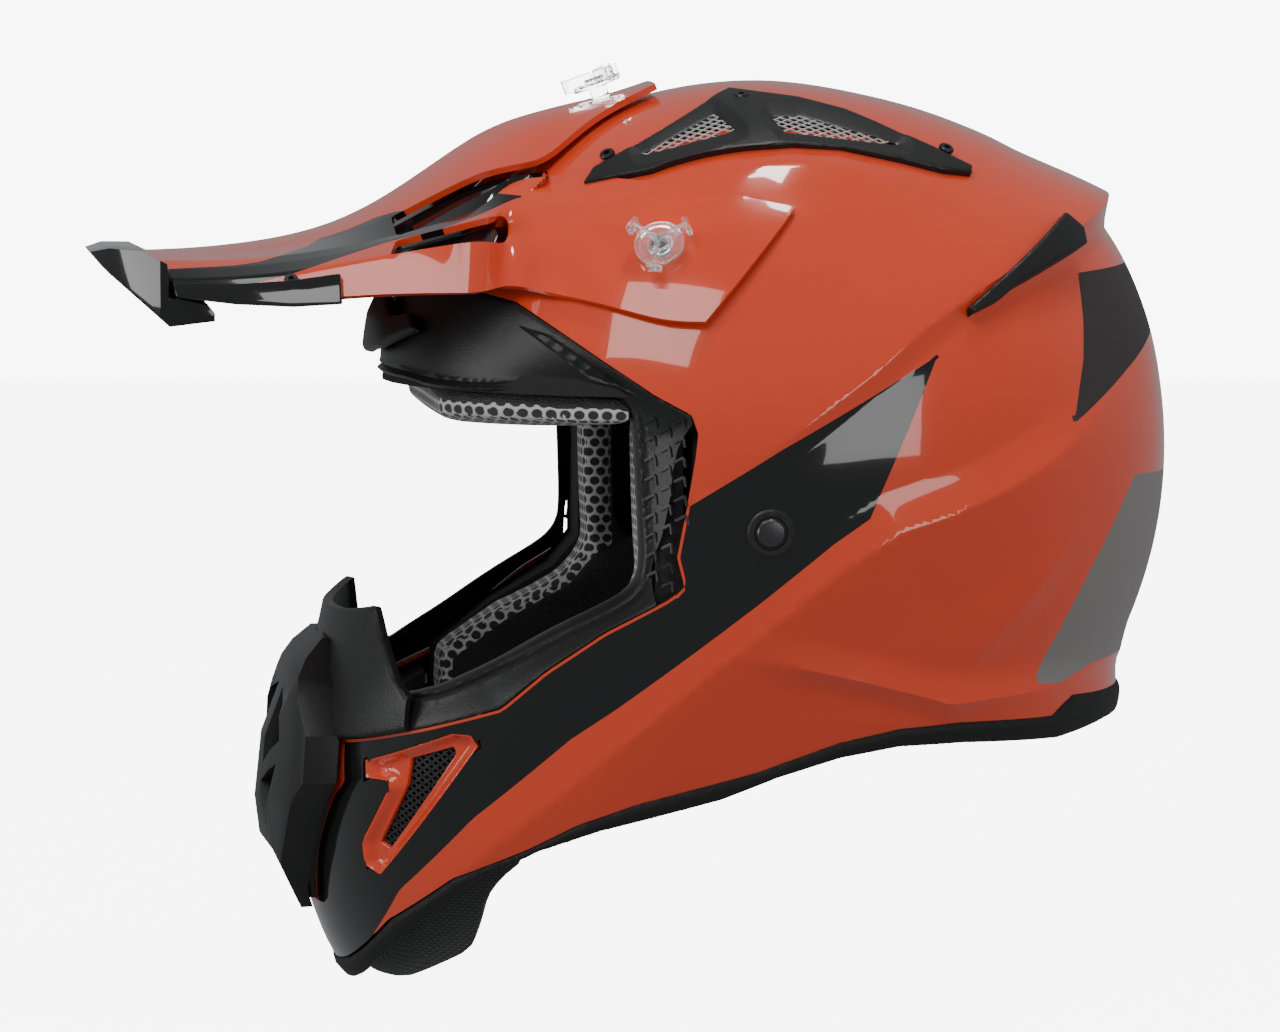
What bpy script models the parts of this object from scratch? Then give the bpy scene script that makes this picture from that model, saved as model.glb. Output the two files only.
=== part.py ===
"""Motocross helmet: shell, linings, eyeport, vents, adjustable peak and chin strap.

Frame: +Z up, -Y the way the wearer looks, +X the wearer's left. The origin is the centre of the
head cavity, on the plane of symmetry. Lengths below are in millimetres and MM turns them to metres.
"""

import math

import bmesh
import bpy
from mathutils import Matrix, Vector

MM = 0.001
GAP = 0.3                       # between neighbouring pieces

# ---- Driving dimensions (mm) ----
HALF_WIDTH = 125.0              # shell, each side of the plane of symmetry
CORE_Y, CORE_Z = -12.0, -20.0   # where the shell's side pole lies
AROUND = 48                     # facets round the side profile
RINGS = 20                      # rings from one pole to the other
SHELL_WALL = 3.2
MESH_OFFSET = -3.5              # wire meshes and strap plates lie just inside the shell
SHEET_WALL = 0.8
LINER_OFFSET = -5.0
TRIM_PROUD, TRIM_WALL = 1.5, 7.0
FRAME_PROUD, FRAME_WALL = 0.8, 5.4
GUARD_PROUD, GUARD_WALL = 3.4, 2.3
COVER_PROUD = 14.0
VENT_PROUD, VENT_WALL = 2.5, 2.2
EAR_PROUD, PEAK_WALL = 5.0, 2.2
HEAD_DOME = (88.0, 103.0, 90.0)     # foam cavity: half width, half length, height over its base
PAD_DOME = (80.0, 95.0, 83.0)       # the same inside the comfort pads
DOME_Z = -20.0
DOME_DEPTH = 160.0

# Side profile of the shell: angle from +Y about the core (degrees), radius (mm)
PROFILE = [
    (8, 153.5), (20, 154.5), (32, 153.5), (45, 147), (57, 139.5), (70, 133.5), (85, 130.3),
    (100, 128), (115, 127), (133, 127), (148, 126.5), (160, 127), (170, 126), (186, 129),
    (202, 147), (213, 176), (226, 207), (233, 218), (245, 222), (258, 205), (272, 184),
    (287, 168), (303, 157), (320, 152), (335, 151.5), (352, 152.5),
]
FLARE_HEIGHT = 9.0              # the neck edge turns out at the back

# Outlines in the side view, (y, z)
EYEPORT = [
    (-240, 42), (-124, 46), (-93, 38), (-68, 20), (-52, 9), (-41, 3), (-39, -3), (-40, -11),
    (-43, -28), (-46, -43), (-44, -51), (-45, -54), (-49, -57), (-69, -68), (-87, -81),
    (-101, -94), (-124, -102), (-146, -109), (-240, -124),
]
EYEPORT_INNER = [
    (-240, 16), (-136, 12), (-118, 8), (-67, 9), (-62, 7), (-58, 2), (-57, -18), (-56, -46),
    (-58, -52), (-63, -57), (-84, -68), (-105, -81), (-128, -92), (-240, -96),
]
RIM = [
    (240, -98), (112, -97), (97, -96), (92, -99), (88, -102), (53, -101), (31, -102), (10, -106),
    (-17, -115), (-57, -125), (-76, -132), (-92, -141), (-115, -152), (-134, -169),
    (-145, -187), (-165, -210),
]
TRIM_EDGE = [
    (240, -107), (113, -108), (91, -111), (54, -109), (31, -109), (11, -112), (-10, -118),
    (-29, -125), (-69, -135), (-88, -142), (-108, -153), (-124, -167), (-138, -188),
    (-142, -197), (-155, -218),
]
CHIN_VENT = [(-130, -113), (-117, -108), (-111, -106), (-138, -147), (-141, -144), (-132, -118)]
MOUTH_COVER = [
    (-190, -130), (-173, -117), (-164, -93), (-159, -84), (-152, -77), (-147, -76), (-145, -82),
    (-120, -108), (-120, -128), (-130, -150), (-140, -170), (-160, -171), (-170, -150),
]
NOSE_GUARD = [
    (-200, -70), (-136, -64), (-132, -66), (-130, -76), (-127, -86), (-120, -97), (-124, -101),
    (-146, -108), (-200, -118),
]
TOP_VENT = [
    (-69, 77), (-65, 82), (-20, 106), (-15, 108), (7, 105), (22, 101), (49, 89), (63, 82),
    (62, 80), (52, 81), (36, 85), (17, 89), (0, 90), (-22, 88), (-49, 81),
]
TOP_WINDOW_FRONT = [(-49, 87), (-23, 100), (-18, 95)]
TOP_WINDOW_REAR = [(-4, 99), (5, 99.5), (38, 90), (-1, 94.5)]
REAR_VENT = [(91, 64), (97, 59), (97, 54), (70, 43), (64, 39), (54, 35), (53, 37)]
CHEEK = [
    (-53, 1), (-48, 1), (-42, -5), (-42, -50), (41, -50), (37, -88), (-30, -98), (-70, -118), (-98, -133),
    (-106, -120), (-106, -92), (-84, -76), (-62, -64), (-53, -54),
]
LINER = [
    (-260, 8), (-60, 8), (-50, 5), (-40, -4), (-40, -47), (43, -47), (60, -76), (260, -86),
    (260, 260), (-260, 260),
]
NECK_ROLL = [(44, -53), (61, -80), (260, -90), (260, -95), (96, -93), (84, -98), (44, -97)]
CHIN_FOAM = [
    (-109, -100), (-125, -106), (-146, -113), (-240, -128), (-240, -205), (-148, -178),
    (-134, -161), (-115, -145), (-109, -141),
]
CHIN_CURTAIN = [
    (-148, -181), (-136, -169), (-116, -149), (-94, -138), (-92, -146), (-99, -153), (-103, -160),
    (-105, -172), (-107, -180), (-118, -188), (-126, -194), (-137, -195), (-146, -190),
]
MOUTH_FRONT = [                 # the mouth cover seen from the front, (x, z)
    (0, -76), (24, -78), (40, -92), (51, -108), (52, -124), (46, -130), (30, -152), (17, -171),
    (-17, -171), (-30, -152), (-46, -130), (-52, -124), (-51, -108), (-40, -92), (-24, -78),
]
MOUTH_SLOTS = [[(8, -96), (26, -100), (30, -112), (10, -122)], [(10, -128), (29, -120), (18, -148)]]

# Peak: rows from its front edge back, each from the middle out to the lower edge, (x, y, z)
PEAK_FRONT = [
    [(0, -213, 52.5), (10, -213, 52.4), (20, -212, 52), (36, -208, 50.5), (44, -206, 48),
     (50, -204, 45), (53, -203, 40)],
    [(0, -190, 53.5), (11, -190, 53), (22, -189, 52), (42, -187, 50.5), (50, -186, 48.5),
     (58, -185, 45.5), (62, -184, 38.5)],
    [(0, -165, 56.5), (13, -165, 55.8), (25, -165, 54), (48, -165, 52.5), (56, -165, 50.5),
     (64, -166, 47.5), (70, -166, 38.5)],
    [(0, -145, 62), (15, -145, 61), (29, -146, 58.5), (50, -146, 55.5), (58, -148, 53.5),
     (69, -150, 50.5), (75, -150, 40)],
    [(0, -128, 71), (17, -128, 69), (34, -130, 64.5), (53, -130, 59), (60, -131, 57.5),
     (74, -134, 53.5), (80, -134, 41)],
    [(0, -112, 82), (20, -112, 79.5), (38, -115, 72.5), (58, -115, 63.5), (67, -115, 62),
     (80, -118, 56.5), (86, -118, 41.5)],
    [(0, -98, 91.5), (22, -98, 88), (44, -101, 80), (62, -102, 67.8), (75, -101, 66),
     (88, -103, 59), (92, -104, 41.5)],
]
TONGUE_REAR = [                 # the tongue's rows go on over the crown
    [(0, -88, 96), (22, -88, 92.5), (46, -88, 82.5)],
    [(0, -78, 99), (22, -78, 96), (45, -79, 84)],
    [(0, -66, 102), (17, -66, 100.5), (34, -66, 95)],
    [(0, -52, 105.0), (12, -52, 104.7), (24, -52, 102.8)],
    [(0, -38, 109.6), (8, -38, 109.5), (16, -38, 108.8)],
]
EAR_TOP = [(-88, 73.5), (-76, 75), (-58, 75), (-33, 72), (-3, 66)]       # (y, z) on the shell's side
EAR_BOTTOM = [(-93, 42), (-80, 39), (-64, 36), (-48, 31), (-35, 31)]
PEAK_PIVOT = (-47.0, 54.0)
TIP_INSERT = [(-230, 53), (-224, 54.5), (-214, 54), (-204, 49), (-192, 36), (-188, 31), (-205, 29),
              (-214, 37), (-224, 46)]
TIP_HALF_WIDTH = 50.0
TIP_UNDER_MIDDLE, TIP_UNDER_SIDES = 3.6, 8.0   # room kept for the peak above the tip insert
TIP_ROOM_ABOVE = 20.0
TIP_ROOM_WIDER, TIP_ROOM_EDGE, TIP_ROOM_AHEAD = 1.03, 1.2, 0.8
INSERT_STANDOFF, INSERT_WALL = 0.9, 1.6    # side inserts, off the peak's lower wings
INSERT_SPAN = (0.35, 1.25)      # from the wing's top edge (0) past its lower edge (1)
TIP_PLAN = [(-50, -190), (-53, -205), (-36, -222), (-22, -231), (22, -231), (36, -222), (53, -205),
            (50, -190)]
PEAK_SCREW = 2.4

KNOB_DISC, KNOB_STEM = 8.2, 3.0
KNOB_PLATE = 1.6
KNOB_WINGS = 3
KNOB_BLADE = (11.0, 2.0, 6.0)   # one wing: out from the middle, wide, high
SIDE_KNOB_BASE = 5.6            # underside of a knob's plate over the shell, clear of the peak
TOP_KNOB_BASE = 6.5
EAR_HOLE, TONGUE_SLOT = 4.4, 3.8
TONGUE_SLOT_STRETCH = 2.3       # the slot in the tongue is this much longer than wide
INSERT_RADIUS = 6.0
RIVET_Y, RIVET_Z = -16.0, -35.0
VENT_SCREWS = {"front": (-59, 84), "middle": (-12, 103), "rear": (54, 85.5)}
SCREW_HEAD = 2.6

STRAP_WIDTH, STRAP_WALL = 22.0, 2.0
STRAP_PIN = (-16.0, -105.0)
STRAP_PIN_FROM = 103.5          # just outside the strap
STRAP_PATH = [(102, -16, -103), (100, -17, -107), (90, -21, -113), (76, -36, -121), (60, -48, -126)]
STRAP_FRONT = [(37, -58, -129), (18, -63, -130), (-18, -63, -130), (-60, -48, -126),
               (-76, -36, -121), (-90, -21, -113), (-100, -17, -107), (-102, -16, -103)]
D_RING_WIRE = 1.6
D_RING_MIDDLES = (54.4, 42.6)
D_RING_FLAT, D_RING_ROUND = 3.0, 4.0      # reach of the straight side and of the bow
D_RING_HALF_LENGTH = 12.5
D_RING_Y, D_RING_Z = -51.5, -127.4
D_RING_LEAN, D_RING_SLOPE = 0.3, 0.08
D_RING_STEPS = 16
STRAP_PLATE_OUTLINE = [(-25, -27), (-7, -27), (-8, -110), (-24, -110)]
STRAP_PIN_RADIUS = 3.0
WASHER_RADIUS, WASHER_TOP = 7.8, 1.8
CAP_RADIUS, CAP_TOP = 4.6, 2.9


# ---- Collections, materials, small helpers ----
def clear_scene():
    for old in list(bpy.data.objects):
        bpy.data.objects.remove(old, do_unlink=True)


def new_collection(name):
    made = bpy.data.collections.new(name)
    bpy.context.scene.collection.children.link(made)
    return made


clear_scene()
PARTS = new_collection("motocross_helmet")
CUTTERS = new_collection("cutters")


def material(name, color, roughness, metallic=0.0):
    made = bpy.data.materials.new(name)
    made.use_nodes = True
    shader = made.node_tree.nodes["Principled BSDF"]
    shader.inputs["Base Color"].default_value = (*color, 1.0)
    shader.inputs["Roughness"].default_value = roughness
    shader.inputs["Metallic"].default_value = metallic
    return made


ORANGE = material("orange_paint", (0.68, 0.08, 0.034), 0.15)
SATIN_BLACK = material("satin_black", (0.02, 0.02, 0.022), 0.45)
RUBBER = material("rubber", (0.012, 0.012, 0.012), 0.75)
FOAM = material("foam", (0.05, 0.05, 0.05), 0.9)
FABRIC = material("fabric", (0.09, 0.09, 0.09), 0.95)
STEEL = material("steel", (0.45, 0.45, 0.45), 0.35, 1.0)
CLEAR = material("clear_plastic", (0.8, 0.8, 0.8), 0.1)
WEBBING = material("webbing", (0.02, 0.02, 0.02), 0.9)


def keep(obj, paint):
    """Put a finished sub-part in the helmet's collection with its material."""
    PARTS.objects.link(obj)
    obj.data.materials.clear()
    obj.data.materials.append(paint)
    return obj


def as_cutter(obj):
    CUTTERS.objects.link(obj)
    obj.hide_render = True
    obj.display_type = "WIRE"
    return obj


def boolean(obj, operation, cutter):
    step = obj.modifiers.new(operation.lower(), "BOOLEAN")
    step.operation = operation
    step.solver = "EXACT"
    step.object = cutter


def object_from(bm, name):
    mesh = bpy.data.meshes.new(name)
    bm.to_mesh(mesh)
    bm.free()
    return bpy.data.objects.new(name, mesh)


# ---- The shell's surface ----
def profile_radius(angle):
    """Radius of the side profile at an angle in degrees: a smooth closed curve through PROFILE."""
    count = len(PROFILE)
    angle = PROFILE[0][0] + (angle - PROFILE[0][0]) % 360
    for i in range(count):
        turns = [(PROFILE[(i + k) % count][0] + 360 * ((i + k) // count)) for k in (-1, 0, 1, 2)]
        if turns[1] <= angle <= turns[2]:
            radii = [PROFILE[(i + k) % count][1] for k in (-1, 0, 1, 2)]
            span = turns[2] - turns[1]
            t = (angle - turns[1]) / span
            slope_in = (radii[2] - radii[0]) / (turns[2] - turns[0]) * span
            slope_out = (radii[3] - radii[1]) / (turns[3] - turns[1]) * span
            return (radii[1] * (2 * t**3 - 3 * t**2 + 1) + slope_in * (t**3 - 2 * t**2 + t)
                    + radii[2] * (3 * t**2 - 2 * t**3) + slope_out * (t**3 - t**2))
    raise ValueError(angle)


def smooth(t):
    t = min(max(t, 0.0), 1.0)
    return t * t * (3 - 2 * t)


def flare(y, z):
    """How far the neck edge turns out, growing down and to the back."""
    return FLARE_HEIGHT * smooth((-84 - z) / 18) * smooth((y + 10) / 110)


def side_x(y, z, offset):
    """Half width of the shell, grown by offset, at a point of the side view."""
    dy, dz = y - CORE_Y, z - CORE_Z
    reach = profile_radius(math.degrees(math.atan2(dz, dy)))
    inside = 1 - (math.hypot(dy, dz) / (reach + offset)) ** 2
    return (HALF_WIDTH + offset) * math.sqrt(max(inside, 0.0))


def skin_bmesh(offset=0.0):
    """The shell's closed ovoid surface, moved out by offset along its normals."""
    bm = bmesh.new()
    poles = [bm.verts.new((side * HALF_WIDTH, CORE_Y, CORE_Z)) for side in (1, -1)]
    rings = []
    for ring in range(1, RINGS):
        tilt = math.pi * ring / RINGS
        row = []
        for step in range(AROUND):
            angle = 360 * step / AROUND
            reach = profile_radius(angle) * math.sin(tilt)
            y = CORE_Y + reach * math.cos(math.radians(angle))
            z = CORE_Z + reach * math.sin(math.radians(angle))
            row.append(bm.verts.new((HALF_WIDTH * math.cos(tilt), y, z)))
        rings.append(row)
    for i in range(AROUND):
        j = (i + 1) % AROUND
        bm.faces.new((poles[0], rings[0][i], rings[0][j]))
        bm.faces.new((poles[1], rings[-1][j], rings[-1][i]))
        for near, far in zip(rings, rings[1:]):
            bm.faces.new((near[i], far[i], far[j], near[j]))
    bmesh.ops.recalc_face_normals(bm, faces=bm.faces)
    bm.normal_update()
    moves = [(v, v.normal * (offset + flare(v.co.y, v.co.z))) for v in bm.verts]
    for vertex, move in moves:
        vertex.co = (vertex.co + move) * MM
    return bm


def skin_shell(name, outer, wall):
    """The skin at offset outer, with its wall inside it."""
    obj = object_from(skin_bmesh(outer), name)
    solid = obj.modifiers.new("wall", "SOLIDIFY")
    solid.thickness = wall * MM
    solid.offset = -1
    return obj


SKINS = {}


def skin_cutter(offset):
    """One solid skin for each offset, made when it is first asked for."""
    if offset not in SKINS:
        SKINS[offset] = as_cutter(object_from(skin_bmesh(offset), f"skin_{offset:+.1f}"))
    return SKINS[offset]


# ---- Flat outlines ----
SIDE_VIEW = Matrix(((0, 0, 1), (1, 0, 0), (0, 1, 0)))      # outline (y, z), thickness along X
FRONT_VIEW = Matrix(((1, 0, 0), (0, 0, -1), (0, 1, 0)))    # outline (x, z), thickness along Y


def outline_solid(name, outline, view, low, high):
    """A flat outline, filled and extruded between low and high along the view's third axis."""
    curve = bpy.data.curves.new(name, "CURVE")
    curve.dimensions = "2D"
    curve.fill_mode = "BOTH"
    curve.extrude = abs(high - low) / 2 * MM
    spline = curve.splines.new("POLY")
    spline.points.add(len(outline) - 1)
    for point, (u, v) in zip(spline.points, outline):
        point.co = (u * MM, v * MM, 0, 1)
    spline.use_cyclic_u = True
    flat = bpy.data.objects.new(f"{name}_flat", curve)
    bpy.context.scene.collection.objects.link(flat)
    flat.matrix_world = Matrix.Translation(view @ Vector((0, 0, (low + high) / 2 * MM))) @ view.to_4x4()
    bpy.context.view_layer.update()
    mesh = bpy.data.meshes.new_from_object(flat.evaluated_get(bpy.context.evaluated_depsgraph_get()))
    made = bpy.data.objects.new(name, mesh)
    made.matrix_world = flat.matrix_world
    bpy.data.objects.remove(flat, do_unlink=True)
    bpy.data.curves.remove(curve)
    bm = bmesh.new()
    bm.from_mesh(mesh)
    bmesh.ops.remove_doubles(bm, verts=bm.verts, dist=0.00001)
    bmesh.ops.recalc_face_normals(bm, faces=bm.faces)
    bm.to_mesh(mesh)
    bm.free()
    return made


def side_cutter(name, outline, low=-170.0, high=170.0):
    return as_cutter(outline_solid(name, outline, SIDE_VIEW, low, high))


def front_cutter(name, outline, low, high):
    """An outline seen from the front, reaching from y = low to y = high."""
    return as_cutter(outline_solid(name, outline, FRONT_VIEW, -high, -low))


def grown(outline, by):
    """The outline moved by a distance along its corners' outward normals."""
    area = sum(a[0] * b[1] - b[0] * a[1] for a, b in zip(outline, outline[1:] + outline[:1]))
    turn = 1 if area > 0 else -1
    moved = []
    for before, here, after in zip(outline[-1:] + outline[:-1], outline, outline[1:] + outline[:1]):
        first = (Vector(here) - Vector(before)).normalized()
        second = (Vector(after) - Vector(here)).normalized()
        normals = [Vector((d.y, -d.x)) * turn for d in (first, second)]
        bisector = (normals[0] + normals[1]).normalized()
        reach = by / max(bisector.dot(normals[0]), 0.5)
        moved.append(tuple(Vector(here) + bisector * reach))
    return moved


def sided(side, low, high):
    """The x range low to high on the side +1 (left) or -1 (right)."""
    return (low, high) if side > 0 else (-high, -low)


SIDES = {"left": 1, "right": -1}


# ---- Round pieces on the shell ----
def surface_frame(y, z, side):
    """A point on the shell's side and the outward normal there."""
    step = 0.5
    here = Vector((side_x(y, z, 0), y, z))
    along_y = Vector((side_x(y + step, z, 0), y + step, z)) - here
    along_z = Vector((side_x(y, z + step, 0), y, z + step)) - here
    normal = along_y.cross(along_z).normalized()
    return Vector((here.x * side, y, z)), Vector((normal.x * side, normal.y, normal.z))


def placed(point, normal):
    """A matrix with its Z along normal and its Y as near up as it can be."""
    up = Vector((0, 0, 1)) if abs(normal.z) < 0.9 else Vector((0, -1, 0))
    x_axis = up.cross(normal).normalized()
    y_axis = normal.cross(x_axis)
    turn = Matrix((x_axis, y_axis, normal)).transposed().to_4x4()
    return Matrix.Translation(point * MM) @ turn


def disc(name, radius, low, high, where, sides=24):
    """A cylinder along the placed frame's Z, from low to high."""
    bm = bmesh.new()
    bmesh.ops.create_cone(bm, cap_ends=True, segments=sides, radius1=radius * MM,
                          radius2=radius * MM, depth=(high - low) * MM,
                          matrix=Matrix.Translation((0, 0, (high + low) / 2 * MM)))
    obj = object_from(bm, name)
    obj.matrix_world = where
    return obj


# ---- Shell and linings ----
def half_dome(name, axes):
    """The head's form: an ellipsoid's upper half on a straight elliptical skirt."""
    bm = bmesh.new()
    bmesh.ops.create_uvsphere(bm, u_segments=32, v_segments=16, radius=1.0)
    below = [v for v in bm.verts if v.co.z < -0.01]
    bmesh.ops.delete(bm, geom=below, context="VERTS")
    rim = [e for e in bm.edges if e.is_boundary]
    skirt = bmesh.ops.extrude_edge_only(bm, edges=rim)["geom"]
    lowered = [v for v in skirt if isinstance(v, bmesh.types.BMVert)]
    for vertex in bm.verts:
        low = DOME_DEPTH if vertex in lowered else 0.0
        vertex.co = Vector((vertex.co.x * axes[0], vertex.co.y * axes[1],
                            vertex.co.z * axes[2] + DOME_Z - low)) * MM
    bmesh.ops.contextual_create(bm, geom=[e for e in bm.edges if e.is_boundary])
    bmesh.ops.recalc_face_normals(bm, faces=bm.faces)
    return object_from(bm, name)


EYEPORT_CUT = side_cutter("eyeport_cut", EYEPORT)
LOWER_CUT = side_cutter("lower_cut", RIM + [(-260, -210), (-260, -300), (240, -300)])
MOUTH_CUT = front_cutter("mouth_cut", [(-30, -100), (30, -100), (20, -150), (-20, -150)], -230, -110)
HEAD_CUT = as_cutter(half_dome("head_cut", HEAD_DOME))
PAD_CUT = as_cutter(half_dome("pad_cut", PAD_DOME))


def make_shell():
    shell = skin_shell("outer_shell", 0, SHELL_WALL)
    for cutter in (EYEPORT_CUT, LOWER_CUT, MOUTH_CUT):
        boolean(shell, "DIFFERENCE", cutter)
    for name, side in SIDES.items():
        for title, outline in (("chin", CHIN_VENT), ("top_front", TOP_WINDOW_FRONT),
                               ("top_rear", TOP_WINDOW_REAR)):
            span = sided(side, 20, 170)
            boolean(shell, "DIFFERENCE", side_cutter(f"{title}_hole_{name}", outline, *span))
    for name, frame in KNOB_FRAMES.items():
        hole = disc(f"insert_hole_{name}", INSERT_RADIUS + GAP, -6, 4, frame)
        boolean(shell, "DIFFERENCE", as_cutter(hole))
    keep(shell, ORANGE)


def make_linings():
    liner = object_from(skin_bmesh(LINER_OFFSET), "impact_liner")
    boolean(liner, "INTERSECT", side_cutter("liner_zone", LINER))
    boolean(liner, "DIFFERENCE", HEAD_CUT)
    keep(liner, FOAM)

    crown = half_dome("crown_pad", [size - GAP for size in HEAD_DOME])
    boolean(crown, "DIFFERENCE", PAD_CUT)
    boolean(crown, "INTERSECT", side_cutter("crown_zone", [(-260, 10), (260, 10), (260, 160), (-260, 160)]))
    keep(crown, FABRIC)

    brow = object_from(skin_bmesh(LINER_OFFSET - 1), "brow_pad")
    boolean(brow, "INTERSECT", side_cutter("brow_zone", [(-260, -5), (-60, -5), (-60, 7), (-260, 7)]))
    boolean(brow, "DIFFERENCE", PAD_CUT)
    keep(brow, FABRIC)

    neck = skin_shell("neck_roll", LINER_OFFSET, 20)
    boolean(neck, "INTERSECT", side_cutter("neck_zone", NECK_ROLL))
    keep(neck, FABRIC)

    chin = skin_shell("chin_bar_foam", LINER_OFFSET, 17)
    boolean(chin, "INTERSECT", side_cutter("chin_zone", CHIN_FOAM))
    boolean(chin, "DIFFERENCE", MOUTH_CUT)
    keep(chin, FOAM)


def make_cheeks():
    for name, side in SIDES.items():
        foam = outline_solid(f"cheek_foam_{name}", grown(CHEEK, -1), SIDE_VIEW, *sided(side, 82, 160))
        boolean(foam, "INTERSECT", skin_cutter(LINER_OFFSET - 1))
        keep(foam, FOAM)
        pad = outline_solid(f"cheek_pad_{name}", CHEEK, SIDE_VIEW, *sided(side, 58, 82 - GAP))
        boolean(pad, "INTERSECT", skin_cutter(LINER_OFFSET - 1))
        keep(pad, FABRIC)


# ---- Rim, eyeport and chin pieces ----
def make_trim():
    trim = skin_shell("bottom_trim", TRIM_PROUD, TRIM_WALL)
    upper = [(y, z - GAP) for y, z in RIM]
    boolean(trim, "INTERSECT", side_cutter("trim_zone", upper + TRIM_EDGE[::-1]))
    keep(trim, RUBBER)

    curtain = skin_shell("chin_curtain", TRIM_PROUD - TRIM_WALL - 0.5, 2.0)
    boolean(curtain, "INTERSECT", side_cutter("curtain_zone", CHIN_CURTAIN))
    keep(curtain, FABRIC)


def make_eyeport():
    frame = skin_shell("eyeport_trim", FRAME_PROUD, FRAME_WALL)
    boolean(frame, "INTERSECT", side_cutter("frame_zone", grown(EYEPORT, -GAP)))
    boolean(frame, "DIFFERENCE", side_cutter("frame_opening", EYEPORT_INNER))
    keep(frame, SATIN_BLACK)

    brow = skin_shell("brow_vent", 3.6, 2.4)
    brow_outline = [(-30, 22), (30, 22), (52, 30), (40, 38), (-40, 38), (-52, 30)]
    boolean(brow, "INTERSECT", front_cutter("brow_vent_zone", brow_outline, -200, -80))
    keep(brow, SATIN_BLACK)

    guard = skin_shell("nose_guard", GUARD_PROUD, GUARD_WALL)
    boolean(guard, "INTERSECT", side_cutter("guard_zone", NOSE_GUARD))
    keep(guard, SATIN_BLACK)


def make_mouth():
    cover = outline_solid("mouth_vent_cover", MOUTH_COVER, SIDE_VIEW, -60, 60)
    boolean(cover, "INTERSECT", front_cutter("cover_zone", MOUTH_FRONT, -220, -100))
    boolean(cover, "INTERSECT", skin_cutter(COVER_PROUD))
    boolean(cover, "DIFFERENCE", skin_cutter(GUARD_PROUD + GAP))
    for index, slot in enumerate(MOUTH_SLOTS, 1):
        for name, side in SIDES.items():
            outline = [(x * side, z) for x, z in slot]
            boolean(cover, "DIFFERENCE", front_cutter(f"mouth_slot_{index}_{name}", outline, -220, -100))
    keep(cover, SATIN_BLACK)

    bezel = skin_shell("mouth_vent_base", GUARD_PROUD, GUARD_PROUD - GAP)
    zone = [(-48, -119), (48, -119), (40, -134), (27, -153), (15, -168), (-15, -168), (-27, -153),
            (-40, -134)]
    boolean(bezel, "INTERSECT", front_cutter("base_zone", zone, -220, -100))
    boolean(bezel, "DIFFERENCE", side_cutter("guard_clearance", grown(NOSE_GUARD, GAP)))
    boolean(bezel, "DIFFERENCE", MOUTH_CUT)
    keep(bezel, SATIN_BLACK)

    mesh_zone = [(-34, -97), (34, -97), (25, -154), (-25, -154)]
    mesh = skin_shell("mouth_vent_mesh", MESH_OFFSET, SHEET_WALL)
    boolean(mesh, "INTERSECT", front_cutter("mouth_mesh_zone", mesh_zone, -220, -100))
    boolean(mesh, "DIFFERENCE", EYEPORT_CUT)
    keep(mesh, STEEL)


def make_side_vents():
    for name, side in SIDES.items():
        span = sided(side, 15, 170)
        chin = skin_shell(f"chin_vent_mesh_{name}", MESH_OFFSET, SHEET_WALL)
        boolean(chin, "INTERSECT", side_cutter(f"chin_mesh_zone_{name}", grown(CHIN_VENT, 2), *span))
        keep(chin, STEEL)

        frame = skin_shell(f"top_vent_frame_{name}", VENT_PROUD, VENT_WALL)
        boolean(frame, "INTERSECT", side_cutter(f"top_vent_zone_{name}", TOP_VENT, *span))
        for title, outline in (("front", TOP_WINDOW_FRONT), ("rear", TOP_WINDOW_REAR)):
            window = side_cutter(f"window_{title}_{name}", outline, *span)
            boolean(frame, "DIFFERENCE", window)
            mesh = skin_shell(f"top_vent_mesh_{title}_{name}", MESH_OFFSET, SHEET_WALL)
            zone = side_cutter(f"top_mesh_zone_{title}_{name}", grown(outline, 2), *span)
            boolean(mesh, "INTERSECT", zone)
            keep(mesh, STEEL)
        for title, (y, z) in VENT_SCREWS.items():
            where = placed(*surface_frame(y, z, side))
            hole = as_cutter(disc(f"screw_hole_{title}_{name}", SCREW_HEAD + GAP, -1, 6, where, 16))
            boolean(frame, "DIFFERENCE", hole)
            keep(disc(f"vent_screw_{title}_{name}", SCREW_HEAD, GAP, VENT_PROUD, where, 16), STEEL)
        keep(frame, SATIN_BLACK)

        rear = skin_shell(f"rear_vent_cover_{name}", VENT_PROUD, VENT_WALL)
        boolean(rear, "INTERSECT", side_cutter(f"rear_vent_zone_{name}", REAR_VENT, *span))
        keep(rear, SATIN_BLACK)


# ---- Peak and its thumb screws ----
def crown_frame(y):
    """The frame on the crown's middle line at y."""
    height = [profile_height(y + step) for step in (0, 0.5)]
    normal = Vector((0, height[0] - height[1], 0.5)).normalized()
    return placed(Vector((0, y, height[0])), normal)


def profile_height(y):
    """Height of the shell's crown on the plane of symmetry at y."""
    low, high = 60.0, 150.0
    for _ in range(40):
        middle = (low + high) / 2
        dy, dz = y - CORE_Y, middle
        if math.hypot(dy, dz) < profile_radius(math.degrees(math.atan2(dz, dy))):
            low = middle
        else:
            high = middle
    return CORE_Z + low


KNOB_FRAMES = {
    "left": placed(*surface_frame(*PEAK_PIVOT, 1)),
    "right": placed(*surface_frame(*PEAK_PIVOT, -1)),
    "top": crown_frame(-53),
}


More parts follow.
